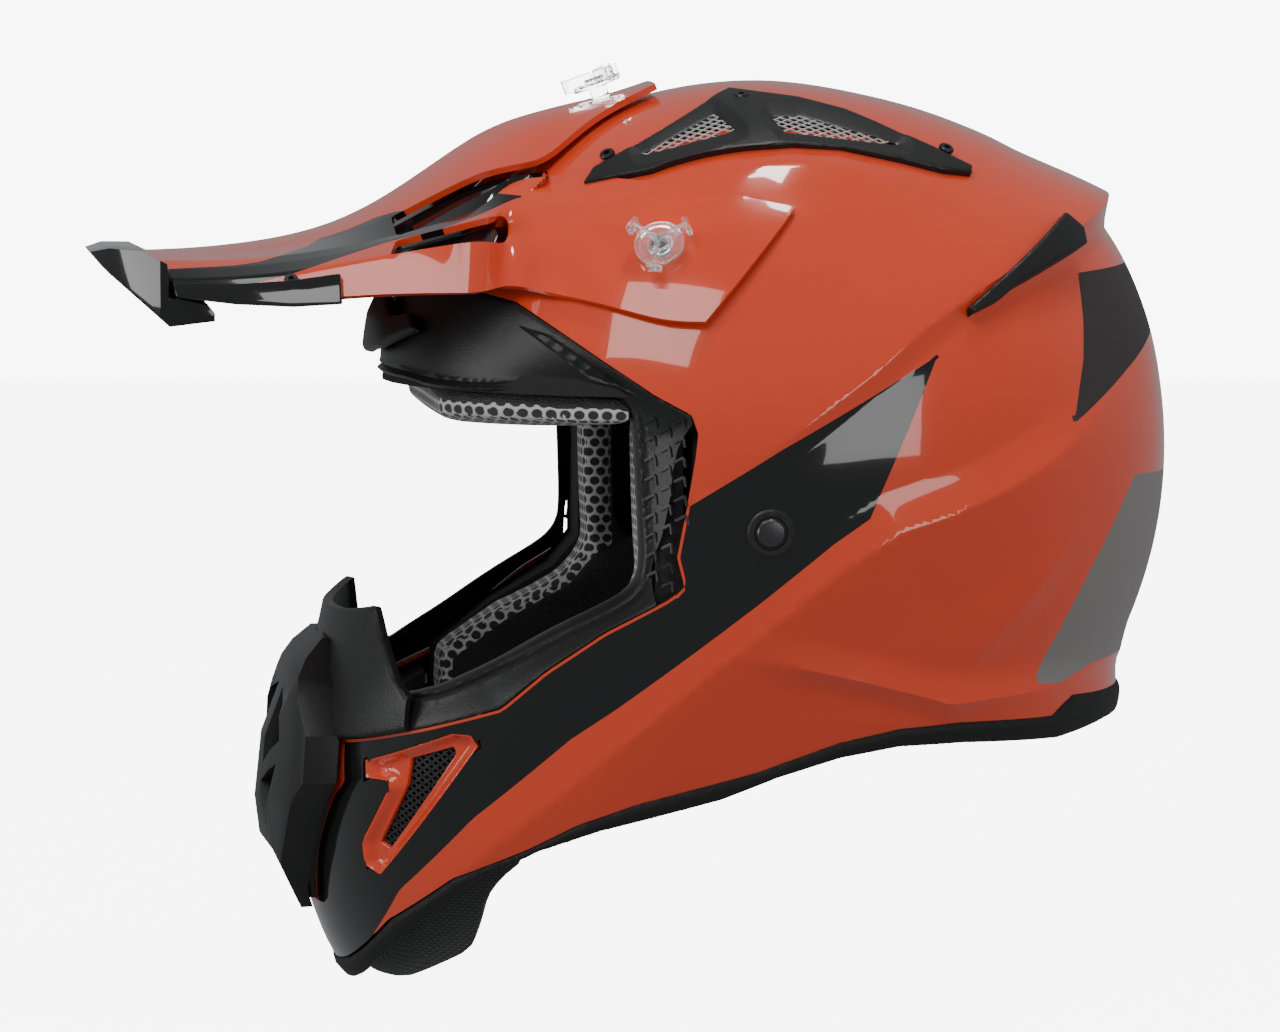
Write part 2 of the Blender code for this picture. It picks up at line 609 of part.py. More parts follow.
def make_peak():
    rows = [list(row) for row in PEAK_FRONT]
    ears = []
    for top, bottom in zip(EAR_TOP, EAR_BOTTOM):
        row = []
        for share in (0, 1 / 3, 2 / 3, 1):
            y = top[0] + (bottom[0] - top[0]) * share
            z = top[1] + (bottom[1] - top[1]) * share
            row.append((side_x(y, z, EAR_PROUD), y, z))
        ears.append(row)
    for tongue, ear in zip(TONGUE_REAR, ears):
        rows.append(tongue + ear)
    bm = bmesh.new()
    grid = [[bm.verts.new(Vector(point) * MM) for point in row] for row in rows]
    gap_row, window_end = 4, 7
    for i in range(len(grid) - 1):
        for j in range(len(grid[0]) - 1):
            beside_tongue = j == 2 and i >= gap_row
            in_window = j == 4 and gap_row <= i < window_end
            if not (beside_tongue or in_window):
                bm.faces.new((grid[i][j], grid[i][j + 1], grid[i + 1][j + 1], grid[i + 1][j]))
    bmesh.ops.subdivide_edges(bm, edges=bm.edges, cuts=1, use_grid_fill=True)
    for vertex in bm.verts:
        ear_zone = vertex.co.y > -0.087 and vertex.co.x > 0.055 and vertex.co.z < 0.079
        if ear_zone:
            vertex.co.x = side_x(vertex.co.y / MM, vertex.co.z / MM, EAR_PROUD) * MM
    bm.normal_update()
    if sum(face.normal.z for face in bm.faces) < 0:
        bmesh.ops.reverse_faces(bm, faces=bm.faces)
    peak = object_from(bm, "peak")
    mirror = peak.modifiers.new("mirror", "MIRROR")
    mirror.merge_threshold = 0.0001
    solid = peak.modifiers.new("wall", "SOLIDIFY")
    solid.thickness = PEAK_WALL * MM
    solid.offset = -1
    for name in SIDES:
        hole = disc(f"ear_hole_{name}", EAR_HOLE, -2, 12, KNOB_FRAMES[name])
        boolean(peak, "DIFFERENCE", as_cutter(hole))
    stretched = KNOB_FRAMES["top"] @ Matrix.Diagonal((1, TONGUE_SLOT_STRETCH, 1, 1))
    slot = disc("tongue_slot", TONGUE_SLOT, -2, 14, stretched)
    boolean(peak, "DIFFERENCE", as_cutter(slot))
    keep(peak, ORANGE)
    return peak


def make_peak_inserts():
    """The plate under the peak's tip, the strips on its side wings and the screws that hold them."""
    tip = outline_solid("peak_tip_insert", TIP_INSERT, SIDE_VIEW, -TIP_HALF_WIDTH, TIP_HALF_WIDTH)
    boolean(tip, "INTERSECT", plan_cutter("tip_plan", TIP_PLAN, 0, 80))
    boolean(tip, "DIFFERENCE", peak_clearance())
    keep(tip, SATIN_BLACK)
    for name, side in SIDES.items():
        keep(side_insert(f"peak_side_insert_{name}", side), SATIN_BLACK)
        top, bottom = (Vector(point) for point in PEAK_FRONT[3][-2:])
        spot = top.lerp(bottom, 0.15) + Vector((0, -4, 0))
        normal = (bottom - top).cross(Vector((0, 1, 0))).normalized()
        normal = normal if normal.x > 0 else -normal
        spot.x *= side
        normal.x *= side
        keep(disc(f"peak_screw_{name}", PEAK_SCREW, 0.5, 1.6, placed(spot, normal), 16), STEEL)


def side_insert(name, side):
    """A strip that lies off the lower part of one side wing and hangs a little under it."""
    bm = bmesh.new()
    rows = []
    for row in PEAK_FRONT[:4]:
        top, bottom = Vector(row[-2]), Vector(row[-1])
        ends = [top.lerp(bottom, share) for share in INSERT_SPAN]
        rows.append([bm.verts.new(Vector(((p.x + INSERT_STANDOFF) * side, p.y, p.z)) * MM) for p in ends])
    for front, back in zip(rows, rows[1:]):
        bm.faces.new((front[0], front[1], back[1], back[0]))
    bmesh.ops.recalc_face_normals(bm, faces=bm.faces)
    if sum(face.normal.x for face in bm.faces) * side < 0:
        bmesh.ops.reverse_faces(bm, faces=bm.faces)
    insert = object_from(bm, name)
    solid = insert.modifiers.new("wall", "SOLIDIFY")
    solid.thickness = INSERT_WALL * MM
    solid.offset = 1
    return insert


def plan_cutter(name, outline, low, high):
    return as_cutter(outline_solid(name, outline, Matrix.Identity(3), low, high))


def peak_clearance():
    """A fat block that follows the peak's front, so that the tip insert fits under and before it."""
    bm = bmesh.new()
    lower, upper = [], []
    for row in PEAK_FRONT[:3]:
        points = mirrored(row)
        drops = [TIP_UNDER_SIDES if abs(x) > 30 else TIP_UNDER_MIDDLE for x, y, z in points]
        lower.append([bm.verts.new(Vector((x, y, z - d)) * MM) for (x, y, z), d in zip(points, drops)])
        upper.append([bm.verts.new(Vector((x, y, z + TIP_ROOM_ABOVE)) * MM) for x, y, z in points])
    for low, high in zip(lower[:-1], lower[1:]):
        for j in range(len(low) - 1):
            bm.faces.new((low[j], low[j + 1], high[j + 1], high[j]))
    for low, high in zip(upper[:-1], upper[1:]):
        for j in range(len(low) - 1):
            bm.faces.new((low[j], high[j], high[j + 1], low[j + 1]))
    for below, above in ((lower[0], upper[0]), (lower[-1], upper[-1])):
        for j in range(len(below) - 1):
            bm.faces.new((below[j], above[j], above[j + 1], below[j + 1]))
    for j in (0, -1):
        for i in range(2):
            bm.faces.new((lower[i][j], lower[i + 1][j], upper[i + 1][j], upper[i][j]))
    bmesh.ops.recalc_face_normals(bm, faces=bm.faces)
    return as_cutter(object_from(bm, "peak_clearance"))


def mirrored(row):
    """A row of the peak from its right edge to its left, a little wider than the peak."""
    ahead = TIP_ROOM_AHEAD if row is PEAK_FRONT[0] else 0.0
    wide = [(x * TIP_ROOM_WIDER, y - ahead, z) for x, y, z in row]
    x, y, z = wide[-1]
    wide[-1] = (x + TIP_ROOM_EDGE, y, z)
    return [(-x, y, z) for x, y, z in wide[:0:-1]] + wide


def make_knobs():
    for name, where in KNOB_FRAMES.items():
        base = TOP_KNOB_BASE if name == "top" else SIDE_KNOB_BASE
        top = base + KNOB_PLATE
        knob = disc(f"peak_knob_{name}", KNOB_STEM, GAP, top + 1, where, 16)
        plate = disc(f"knob_plate_{name}", KNOB_DISC, base, top, where)
        boolean(knob, "UNION", as_cutter(plate))
        for wing in range(KNOB_WINGS):
            turn = Matrix.Rotation(2 * math.pi * wing / KNOB_WINGS - math.pi / 2, 4, "Z")
            length, width, height = KNOB_BLADE
            shift = Matrix.Translation(Vector((length / 2, 0, top + height / 2 - 1)) * MM)
            bm = bmesh.new()
            bmesh.ops.create_cube(bm, size=MM, matrix=shift @ Matrix.Diagonal((*KNOB_BLADE, 1)))
            blade = object_from(bm, f"knob_wing_{wing}_{name}")
            blade.matrix_world = where @ turn
            boolean(knob, "UNION", as_cutter(blade))
        keep(knob, CLEAR)
        keep(disc(f"threaded_insert_{name}", INSERT_RADIUS, -SHELL_WALL - 0.2, -0.6, where), STEEL)


# ---- Chin strap ----
def ribbon(name, path, width, wall):
    """A flat band along a path, its width along Y."""
    bm = bmesh.new()
    rows = [[bm.verts.new(Vector((x, y + half, z)) * MM) for half in (-width / 2, width / 2)]
            for x, y, z in path]
    for near, far in zip(rows, rows[1:]):
        bm.faces.new((near[0], far[0], far[1], near[1]))
    obj = object_from(bm, name)
    solid = obj.modifiers.new("wall", "SOLIDIFY")
    solid.thickness = wall * MM
    solid.offset = 0
    return obj


def d_ring(name, middle):
    """A flat wire loop, straight towards the strap and bowed away from it."""
    curve = bpy.data.curves.new(f"{name}_wire", "CURVE")
    curve.dimensions = "3D"
    curve.bevel_depth = D_RING_WIRE * MM
    curve.bevel_resolution = 2
    spline = curve.splines.new("POLY")
    spline.points.add(D_RING_STEPS - 1)
    for step, point in enumerate(spline.points):
        angle = 2 * math.pi * step / D_RING_STEPS
        reach = D_RING_ROUND if math.cos(angle) < 0 else D_RING_FLAT
        x = middle + reach * math.cos(angle)
        y = D_RING_Y + D_RING_HALF_LENGTH * math.sin(angle) - (54 - middle) * D_RING_LEAN
        point.co = (x * MM, y * MM, (D_RING_Z - (60 - x) * D_RING_SLOPE) * MM, 1)
    spline.use_cyclic_u = True
    wire = bpy.data.objects.new(f"{name}_wire", curve)
    bpy.context.scene.collection.objects.link(wire)
    bpy.context.view_layer.update()
    mesh = bpy.data.meshes.new_from_object(wire.evaluated_get(bpy.context.evaluated_depsgraph_get()))
    bpy.data.objects.remove(wire, do_unlink=True)
    return bpy.data.objects.new(name, mesh)


def make_strap():
    keep(ribbon("strap_short", STRAP_PATH, STRAP_WIDTH, STRAP_WALL), WEBBING)
    keep(ribbon("strap_long", STRAP_FRONT, STRAP_WIDTH, STRAP_WALL), WEBBING)
    for index, middle in enumerate(D_RING_MIDDLES, 1):
        keep(d_ring(f"d_ring_{index}", middle), STEEL)
    for name, side in SIDES.items():
        plate = skin_shell(f"strap_plate_{name}", MESH_OFFSET, SHEET_WALL)
        zone = side_cutter(f"plate_zone_{name}", STRAP_PLATE_OUTLINE, *sided(side, 60, 170))
        boolean(plate, "INTERSECT", zone)
        keep(plate, STEEL)
        pin = placed(Vector((0, *STRAP_PIN)), Vector((side, 0, 0)))
        reach = side_x(STRAP_PIN[0], STRAP_PIN[1] - STRAP_PIN_RADIUS, MESH_OFFSET - SHEET_WALL) - SHEET_WALL
        keep(disc(f"strap_pin_{name}", STRAP_PIN_RADIUS, STRAP_PIN_FROM, reach, pin, 16), STEEL)
        where = placed(*surface_frame(RIVET_Y, RIVET_Z, side))
        keep(disc(f"rivet_washer_{name}", WASHER_RADIUS, GAP, WASHER_TOP, where), SATIN_BLACK)
        keep(disc(f"rivet_cap_{name}", CAP_RADIUS, WASHER_TOP + GAP, CAP_TOP, where), STEEL)


make_shell()
make_linings()
make_cheeks()
make_trim()
make_eyeport()
make_mouth()
make_side_vents()
make_peak()
make_peak_inserts()
make_knobs()
make_strap()
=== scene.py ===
"""Motocross helmet, drawn over its CAD frame: skin, eyeport, vents, peak, linings and straps.

Frame: +Z up, -Y the way the wearer looks, +X the wearer's left. Outlines and sizes below are in
millimetres, MM turns them to metres.
"""

import math

import bmesh
import bpy
import numpy as np
from mathutils import Matrix, Vector


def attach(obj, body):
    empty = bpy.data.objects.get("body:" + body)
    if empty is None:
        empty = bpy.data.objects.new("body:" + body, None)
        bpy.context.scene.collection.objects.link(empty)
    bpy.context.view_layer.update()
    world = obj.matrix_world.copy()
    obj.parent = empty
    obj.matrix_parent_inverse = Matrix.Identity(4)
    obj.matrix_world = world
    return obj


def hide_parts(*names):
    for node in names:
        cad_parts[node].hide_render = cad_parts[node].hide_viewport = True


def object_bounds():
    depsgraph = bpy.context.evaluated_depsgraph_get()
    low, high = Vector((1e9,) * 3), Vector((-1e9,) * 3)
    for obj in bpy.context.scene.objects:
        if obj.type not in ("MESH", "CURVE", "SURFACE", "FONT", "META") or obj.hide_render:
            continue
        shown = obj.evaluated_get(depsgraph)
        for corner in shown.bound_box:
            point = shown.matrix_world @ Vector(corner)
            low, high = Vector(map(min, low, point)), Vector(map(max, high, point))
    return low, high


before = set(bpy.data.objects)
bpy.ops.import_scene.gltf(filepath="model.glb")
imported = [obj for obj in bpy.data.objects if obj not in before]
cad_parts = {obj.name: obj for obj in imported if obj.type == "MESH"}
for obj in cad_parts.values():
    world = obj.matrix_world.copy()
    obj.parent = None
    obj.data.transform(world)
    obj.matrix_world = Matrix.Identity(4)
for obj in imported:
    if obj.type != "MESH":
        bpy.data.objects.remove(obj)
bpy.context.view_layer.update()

MM = 0.001
HALF_WIDTH = 125.0              # skin, each side of the plane of symmetry
CORE_Y, CORE_Z = -12.0, -20.0   # where the skin's side pole lies
GAP = 0.3                       # between neighbouring pieces
SHELL_WALL = 3.2
TRIM_PROUD, TRIM_WALL = 1.5, 7.0
FRAME_PROUD = 0.8
GUARD_PROUD, GUARD_WALL = 3.4, 2.3
VENT_PROUD, VENT_WALL = 2.5, 2.2
EAR_PROUD, PEAK_WALL = 5.0, 2.2

# Side profile of the shell: angle from +Y about the core (degrees), radius (mm)
PROFILE = [
    (8, 153.5), (20, 154.5), (32, 153.5), (45, 147), (57, 139.5), (70, 133.5), (85, 130.3),
    (100, 128), (115, 127), (133, 127), (148, 126.5), (160, 127), (170, 126), (186, 129),
    (202, 147), (213, 176), (226, 207), (233, 218), (245, 222), (258, 205), (272, 184),
    (287, 168), (303, 157), (320, 152), (335, 151.5), (352, 152.5),
]
FLARE_HEIGHT = 9.0              # the neck edge turns out at the back
FLARE_TOP, FLARE_DEPTH = -84, 18
FLARE_FRONT, FLARE_LENGTH = -10, 110
CREASE_POWER = 1.3              # over 1, a crease's foot is softer than its top
MIDDLE = 0.003                  # a point nearer to the middle plane than this lies on it

# Outlines in the side view, (y, z)
EYEPORT = [
    (-240, 42), (-124, 46), (-93, 38), (-68, 20), (-52, 9), (-41, 3), (-39, -3), (-40, -11),
    (-43, -28), (-46, -43), (-44, -51), (-45, -54), (-49, -57), (-69, -68), (-87, -81),
    (-101, -94), (-124, -102), (-146, -109), (-240, -124),
]
EYEPORT_INNER = [
    (-240, 16), (-136, 12), (-118, 8), (-67, 9), (-62, 7), (-58, 2), (-57, -18), (-56, -46),
    (-58, -52), (-63, -57), (-84, -68), (-105, -81), (-128, -92), (-240, -96),
]
RIM = [
    (240, -98), (112, -97), (97, -96), (92, -99), (88, -102), (53, -101), (31, -102), (10, -106),
    (-17, -115), (-57, -125), (-76, -132), (-92, -141), (-115, -152), (-134, -169),
    (-145, -187), (-165, -210),
]
TRIM_EDGE = [
    (240, -107), (113, -108), (91, -111), (54, -109), (31, -109), (11, -112), (-10, -118),
    (-29, -125), (-69, -135), (-88, -142), (-108, -153), (-124, -167), (-138, -188),
    (-142, -197), (-155, -218),
]
NOSE_GUARD = [
    (-200, -76), (-146, -67), (-138.5, -64), (-136.5, -74), (-133.5, -86), (-127.5, -96), (-122, -100.5),
    (-146, -108), (-200, -118),
]
TOP_VENT = [
    (-69, 77), (-65, 82), (-20, 106), (-15, 108), (7, 105), (22, 101), (49, 89), (63, 82),
    (62, 80), (52, 81), (36, 85), (17, 89), (0, 90), (-22, 88), (-49, 81),
]
TOP_WINDOW_FRONT = [(-49, 87), (-23, 100), (-18, 95)]
TOP_WINDOW_REAR = [(-4, 99), (5, 99.5), (38, 90), (-1, 94.5)]
REAR_VENT = [(91, 64), (97, 59), (97, 54), (70, 43), (64, 39), (54, 35), (53, 37)]
CHEEK = [
    (-53, 1), (-48, 1), (-42, -5), (-42, -50), (41, -50), (37, -88), (-30, -98), (-70, -118), (-98, -133),
    (-106, -120), (-106, -92), (-84, -76), (-62, -64), (-53, -54),
]
CHIN_CURTAIN = [
    (-148, -181), (-136, -169), (-116, -149), (-94, -138), (-92, -146), (-99, -153), (-103, -160),
    (-105, -172), (-107, -180), (-118, -188), (-126, -194), (-137, -195), (-146, -190),
]

# Peak: rows from its front edge back, each from the middle out to the lower edge, (x, y, z)
PEAK_FRONT = [
    [(0, -213, 52.5), (10, -213, 52.4), (20, -212, 52), (36, -208, 50.5), (44, -206, 48),
     (50, -204, 45), (53, -203, 40)],
    [(0, -190, 53.5), (11, -190, 53), (22, -189, 52), (42, -187, 50.5), (50, -186, 48.5),
     (58, -185, 45.5), (62, -184, 38.5)],
    [(0, -165, 56.5), (13, -165, 55.8), (25, -165, 54), (48, -165, 52.5), (56, -165, 50.5),
     (64, -166, 47.5), (70, -166, 38.5)],
    [(0, -145, 62), (15, -145, 61), (29, -146, 58.5), (50, -146, 55.5), (58, -148, 53.5),
     (69, -150, 50.5), (75, -150, 40)],
    [(0, -128, 71), (17, -128, 69), (34, -130, 64.5), (53, -130, 59), (60, -131, 57.5),
     (74, -134, 53.5), (80, -134, 41)],
    [(0, -112, 82), (20, -112, 79.5), (38, -115, 72.5), (58, -115, 63.5), (67, -115, 62),
     (80, -118, 56.5), (86, -118, 41.5)],
    [(0, -98, 91.5), (22, -98, 88), (44, -101, 80), (62, -102, 67.8), (75, -101, 66),
     (88, -103, 59), (92, -104, 41.5)],
]
TONGUE_REAR = [                 # the tongue's rows go on over the crown
    [(0, -88, 96), (22, -88, 92.5), (46, -88, 82.5)],
    [(0, -78, 99), (22, -78, 96), (45, -79, 84)],
    [(0, -66, 102), (17, -66, 100.5), (34, -66, 95)],
    [(0, -52, 105.0), (12, -52, 104.7), (24, -52, 102.8)],
    [(0, -38, 109.6), (8, -38, 109.5), (16, -38, 108.8)],
]
EAR_TOP = [(-88, 73.5), (-76, 75), (-58, 75), (-33, 72), (-3, 66)]       # (y, z) on the shell's side
EAR_BOTTOM = [(-93, 42), (-80, 39), (-64, 36), (-48, 31), (-35, 31)]
PEAK_PIVOT = (-47.0, 54.0)
PEAK_SCREW = 2.4

KNOB_WINGS = 3
TONGUE_SLOT = 3.8
TONGUE_SLOT_STRETCH = 2.3       # the slot in the tongue is this much longer than wide
INSERT_RADIUS = 6.0
RIVET_Y, RIVET_Z = -16.0, -35.0
VENT_SCREWS = {"front": (-59, 84), "middle": (-12, 103), "rear": (54, 85.5)}
SCREW_HEAD = 2.6


# ---- The shell's skin: the same surface as the CAD, at a finer pitch ----
TABLE_STEP = 0.25


def hermite_radius(angle):
    """Radius of the side profile at an angle in degrees."""
    count = len(PROFILE)
    angle = PROFILE[0][0] + (angle - PROFILE[0][0]) % 360
    for i in range(count):
        turns = [(PROFILE[(i + k) % count][0] + 360 * ((i + k) // count)) for k in (-1, 0, 1, 2)]
        if turns[1] <= angle <= turns[2]:
            radii = [PROFILE[(i + k) % count][1] for k in (-1, 0, 1, 2)]
            span = turns[2] - turns[1]
            t = (angle - turns[1]) / span
            slope_in = (radii[2] - radii[0]) / (turns[2] - turns[0]) * span
            slope_out = (radii[3] - radii[1]) / (turns[3] - turns[1]) * span
            return (radii[1] * (2 * t**3 - 3 * t**2 + 1) + slope_in * (t**3 - 2 * t**2 + t)
                    + radii[2] * (3 * t**2 - 2 * t**3) + slope_out * (t**3 - t**2))
    raise ValueError(angle)


TABLE_ANGLES = np.arange(0, 360, TABLE_STEP)
TABLE_RADII = np.array([hermite_radius(a) for a in TABLE_ANGLES])


def smooth(t):
    """An even rise from 0 to 1."""
    t = np.clip(t, 0.0, 1.0)
    return t * t * (3 - 2 * t)


def radius_at(angle):
    """The middle outline's distance from the core."""
    return np.interp(angle, TABLE_ANGLES, TABLE_RADII, period=360)


def surface(angle, tilt):
    """Points of the bare skin, in mm, at angles about the core and tilts away from +X."""
    reach = radius_at(angle) * np.sin(tilt)
    turn = np.radians(angle)
    return np.stack([HALF_WIDTH * np.cos(tilt), CORE_Y + reach * np.cos(turn),
                     CORE_Z + reach * np.sin(turn)], -1)


def surface_normal(angle, tilt):
    """Outward directions of the bare skin."""
    tilt = np.maximum(tilt, 0.02)
    around = surface(angle + 0.4, tilt) - surface(angle - 0.4, tilt)
    down = surface(angle, tilt + 0.003) - surface(angle, tilt - 0.003)
    normal = np.cross(down, around)
    return normal / np.linalg.norm(normal, axis=-1, keepdims=True)


def polar(y, z):
    """The angle and tilt of the skin's point (x >= 0) seen at (y, z) from the side."""
    dy, dz = np.asarray(y) - CORE_Y, np.asarray(z) - CORE_Z
    angle = np.degrees(np.arctan2(dz, dy)) % 360
    return angle, np.arcsin(np.clip(np.hypot(dy, dz) / radius_at(angle), 0, 1))


def segment_distance(p, a, b):
    """Distance of points from a segment, and how far along it the nearest point is."""
    d = b - a
    t = np.clip(((p - a) @ d) / (d @ d), 0, 1)
    return np.hypot(*(p - a - t[:, None] * d).T), t


def outline_field(outline, axes=(1, 2)):
    """Signed distance to a closed outline, positive inside, seen along the axis left out."""
    points = np.array(outline, float)

    def field(co):
        p = co[:, axes]
        best = np.full(len(p), 1e9)
        inside = np.zeros(len(p), bool)
        for a, b in zip(points, np.roll(points, -1, 0)):
            best = np.minimum(best, segment_distance(p, a, b)[0])
            crosses = (a[1] > p[:, 1]) != (b[1] > p[:, 1])
            at = a[0] + (p[:, 1] - a[1]) / ((b[1] - a[1]) or 1e-9) * (b[0] - a[0])
            inside ^= crosses & (p[:, 0] < at)
        return np.where(inside, best, -best)
    return field


def line_field(points):
    """Signed distance to an open line in the side view, positive on its left, and how far along."""
    points = np.array(points, float)[:, :2]
    lengths = np.hypot(*np.diff(points, axis=0).T)
    starts = np.concatenate([[0], np.cumsum(lengths)])

    def field(co):
        p = co[:, 1:3]
        best = np.full(len(p), 1e9)
        side = np.ones(len(p))
        along = np.zeros(len(p))
        for k, (a, b) in enumerate(zip(points, points[1:])):
            distance, t = segment_distance(p, a, b)
            turn = (b[0] - a[0]) * (p[:, 1] - a[1]) - (b[1] - a[1]) * (p[:, 0] - a[0])
            nearer = distance < best - 1e-6
            best = np.where(nearer, distance, best)
            side = np.where(nearer, np.sign(turn), side)
            along = np.where(nearer, starts[k] + t * lengths[k], along)
        return best * side, along
    field.starts = starts
    return field


CORNER_CUT = 0.22               # share of a side that a corner's cut takes


def rounded(outline, rounds):
    """The outline with its corners cut again and again into soft bends."""
    points = [np.array(p, float) for p in outline]
    for _ in range(rounds):
        cut_points = []
        for a, b in zip(points, points[1:] + points[:1]):
            cut_points += [a + (b - a) * CORNER_CUT, b - (b - a) * CORNER_CUT]
        points = cut_points
    return [tuple(p) for p in points]


# Creases of the outer shell, front to rear: (y, z, height), then their widths above and below
RIDGES = [
    ([(-30, -18, 0.0), (-6, -2, 1.6), (21, 17, 2.4), (35, 28, 2.8), (53, 39, 3.4), (76, 50, 4.6),
      (96, 58, 6.6), (116, 66.5, 9.0), (140, 76, 9.0)], 30, 7),
    ([(-148, -194, 0.5), (-130, -168, 1.6), (-100, -138, 2.4), (-70, -111, 2.8), (-38, -83, 3.2),
      (-6, -58, 3.8), (11, -45, 4.2), (27, -35, 4.4), (45, -30, 4.4), (63, -23, 4.2), (78, -16, 3.6),
      (92, -7, 2.2), (102, 1, 1.4), (114, 13, 0.0)], 13, 30),
    ([(-26, -75, 0.0), (-5, -79, 2.6), (19, -85, 3.6), (45, -92, 3.8), (63, -91, 3.6), (83, -90, 3.0),
      (107, -86, 1.6), (140, -84, 1.6)], 9, 7),
    ([(40, -102, 0.0), (58, -77, 1.6), (79, -54, 1.8), (96, -35, 0.0)], 16, 9),
    ([(-30, 76, 0.0), (-12, 82, 1.3), (2, 83, 1.5), (19, 81, 1.3), (38, 75, 0.0)], 5, 12),
]
RIDGE_FIELDS = [line_field(line) for line, above, below in RIDGES]


def relief(co):
    """Height of the shell's creases and of its flared neck edge, at bare points of the skin."""
    height = (FLARE_HEIGHT * smooth((FLARE_TOP - co[:, 2]) / FLARE_DEPTH)
              * smooth((co[:, 1] - FLARE_FRONT) / FLARE_LENGTH))
    for (line, above, below), field in zip(RIDGES, RIDGE_FIELDS):
        distance, along = field(co)
        peak = np.interp(along, field.starts, [h for y, z, h in line])
        width = np.where(distance > 0, above, below)
        height = height + peak * np.maximum(0, 1 - np.abs(distance) / width) ** CREASE_POWER
    return height


def skin_grid(angles, tilts, offset, creased=True):
    """A grid of the skin for x >= 0 as a bmesh in mm, with the skin's normals kept on its points."""
    bm = bmesh.new()
    layer = bm.verts.layers.float_vector.new("skin")
    a, t = np.meshgrid(angles, tilts, indexing="ij")
    bare = surface(a.ravel(), t.ravel())
    normal = surface_normal(a.ravel(), t.ravel())
    height = relief(bare) if creased else relief(bare) * 0
    co = bare + normal * (offset + height)[:, None]
    middle = np.isclose(t.ravel(), math.pi / 2)
    co[middle, 0] = 0
    verts = []
    for point, direction in zip(co, normal):
        vert = bm.verts.new(point)
        vert[layer] = direction
        verts.append(vert)
    rows, columns = a.shape
    closed = abs((angles[-1] - angles[0]) - 360) < 1e-6
    last = rows - 1
    for i in range(last):
        j = 0 if closed and i == last - 1 else i + 1
        for k in range(columns - 1):
            quad = [verts[i * columns + k], verts[i * columns + k + 1],
                    verts[j * columns + k + 1], verts[j * columns + k]]
            bm.faces.new(quad)
    if closed:
        for k in range(columns):
            bm.verts.remove(verts[last * columns + k])
    if tilts[0] < 1e-6:
        bmesh.ops.remove_doubles(bm, verts=bm.verts, dist=0.001)
    return bm


def coordinates(bm):
    """The bmesh's points as rows of x, y and z."""
    return np.array([v.co for v in bm.verts]).reshape(-1, 3)


SNAP = 0.14                     # a point this share of its edge from the line moves onto it


def cut(bm, field, level=0.0):
    """Lays a line of edges along field == level, moving near points onto it and splitting the rest."""
    layer = bm.verts.layers.float_vector.get("skin")
    bm.verts.index_update()
    bm.verts.ensure_lookup_table()
    value = field(coordinates(bm)) - level
    value[np.abs(value) < 1e-4] = 0
    crossed = []
    for edge in bm.edges:
        one, two = edge.verts
        a, b = value[one.index], value[two.index]
        if a * b < 0:
            part = a / (a - b)
            if min(part, 1 - part) < SNAP and one.co.x > 1e-6 and two.co.x > 1e-6:
                mover, other = (one, two) if part < 0.5 else (two, one)
                mover.co = mover.co.lerp(other.co, min(part, 1 - part))
                value[mover.index] = 0
            else:
                crossed.append(edge)
    on_line = [v for v in bm.verts if value[v.index] == 0]
    for edge in crossed:
        one, two = edge.verts
        a, b = value[one.index], value[two.index]
        if a * b >= 0:
            continue
        part = a / (a - b)
        place = one.co.lerp(two.co, part)
        if layer is not None:
            direction = one[layer].lerp(two[layer], part).normalized()
        made = bmesh.utils.edge_split(edge, one, part)[1]
        made.co = place
        if layer is not None:
            made[layer] = direction
        on_line.append(made)
    bmesh.ops.connect_verts(bm, verts=on_line)


def face_values(bm, field):
    """A field's value in the middle of every face."""
    return field(np.array([f.calc_center_median() for f in bm.faces]).reshape(-1, 3))


def drop_faces(bm, field, level=0.0, inside=False):
    """Takes away the faces outside a field's level, or the ones inside it."""
    value = face_values(bm, field) - level
    gone = [f for f, v in zip(bm.faces, value) if (v > 0) == inside]
    bmesh.ops.delete(bm, geom=gone, context="FACES")


def paint(bm, field, index):
    """Gives the faces inside a field a material."""
    for face, value in zip(bm.faces, face_values(bm, field)):
        if value > 0:
            face.material_index = index


def push(bm, height):
    """Moves the points along the skin's normals by height(points)."""
    layer = bm.verts.layers.float_vector["skin"]
    for vert, rise in zip(bm.verts, height(coordinates(bm))):
        move = vert[layer] * float(rise)
        if abs(vert.co.x) < 1e-4:
            move.x = 0
        vert.co += move


def mirrored(bm):
    """Adds the x < 0 half."""
    layer = bm.verts.layers.float_vector.get("skin")
    copies = bmesh.ops.duplicate(bm, geom=bm.verts[:] + bm.edges[:] + bm.faces[:])["geom"]
    verts = [g for g in copies if isinstance(g, bmesh.types.BMVert)]
    faces = [g for g in copies if isinstance(g, bmesh.types.BMFace)]
    for vert in verts:
        vert.co.x = -vert.co.x
        if layer is not None:
            vert[layer] = Vector((-vert[layer].x, vert[layer].y, vert[layer].z))
    bmesh.ops.reverse_faces(bm, faces=faces)
    middle = [v for v in bm.verts if abs(v.co.x) < MIDDLE]
    bmesh.ops.remove_doubles(bm, verts=middle, dist=0.01)
    return bm


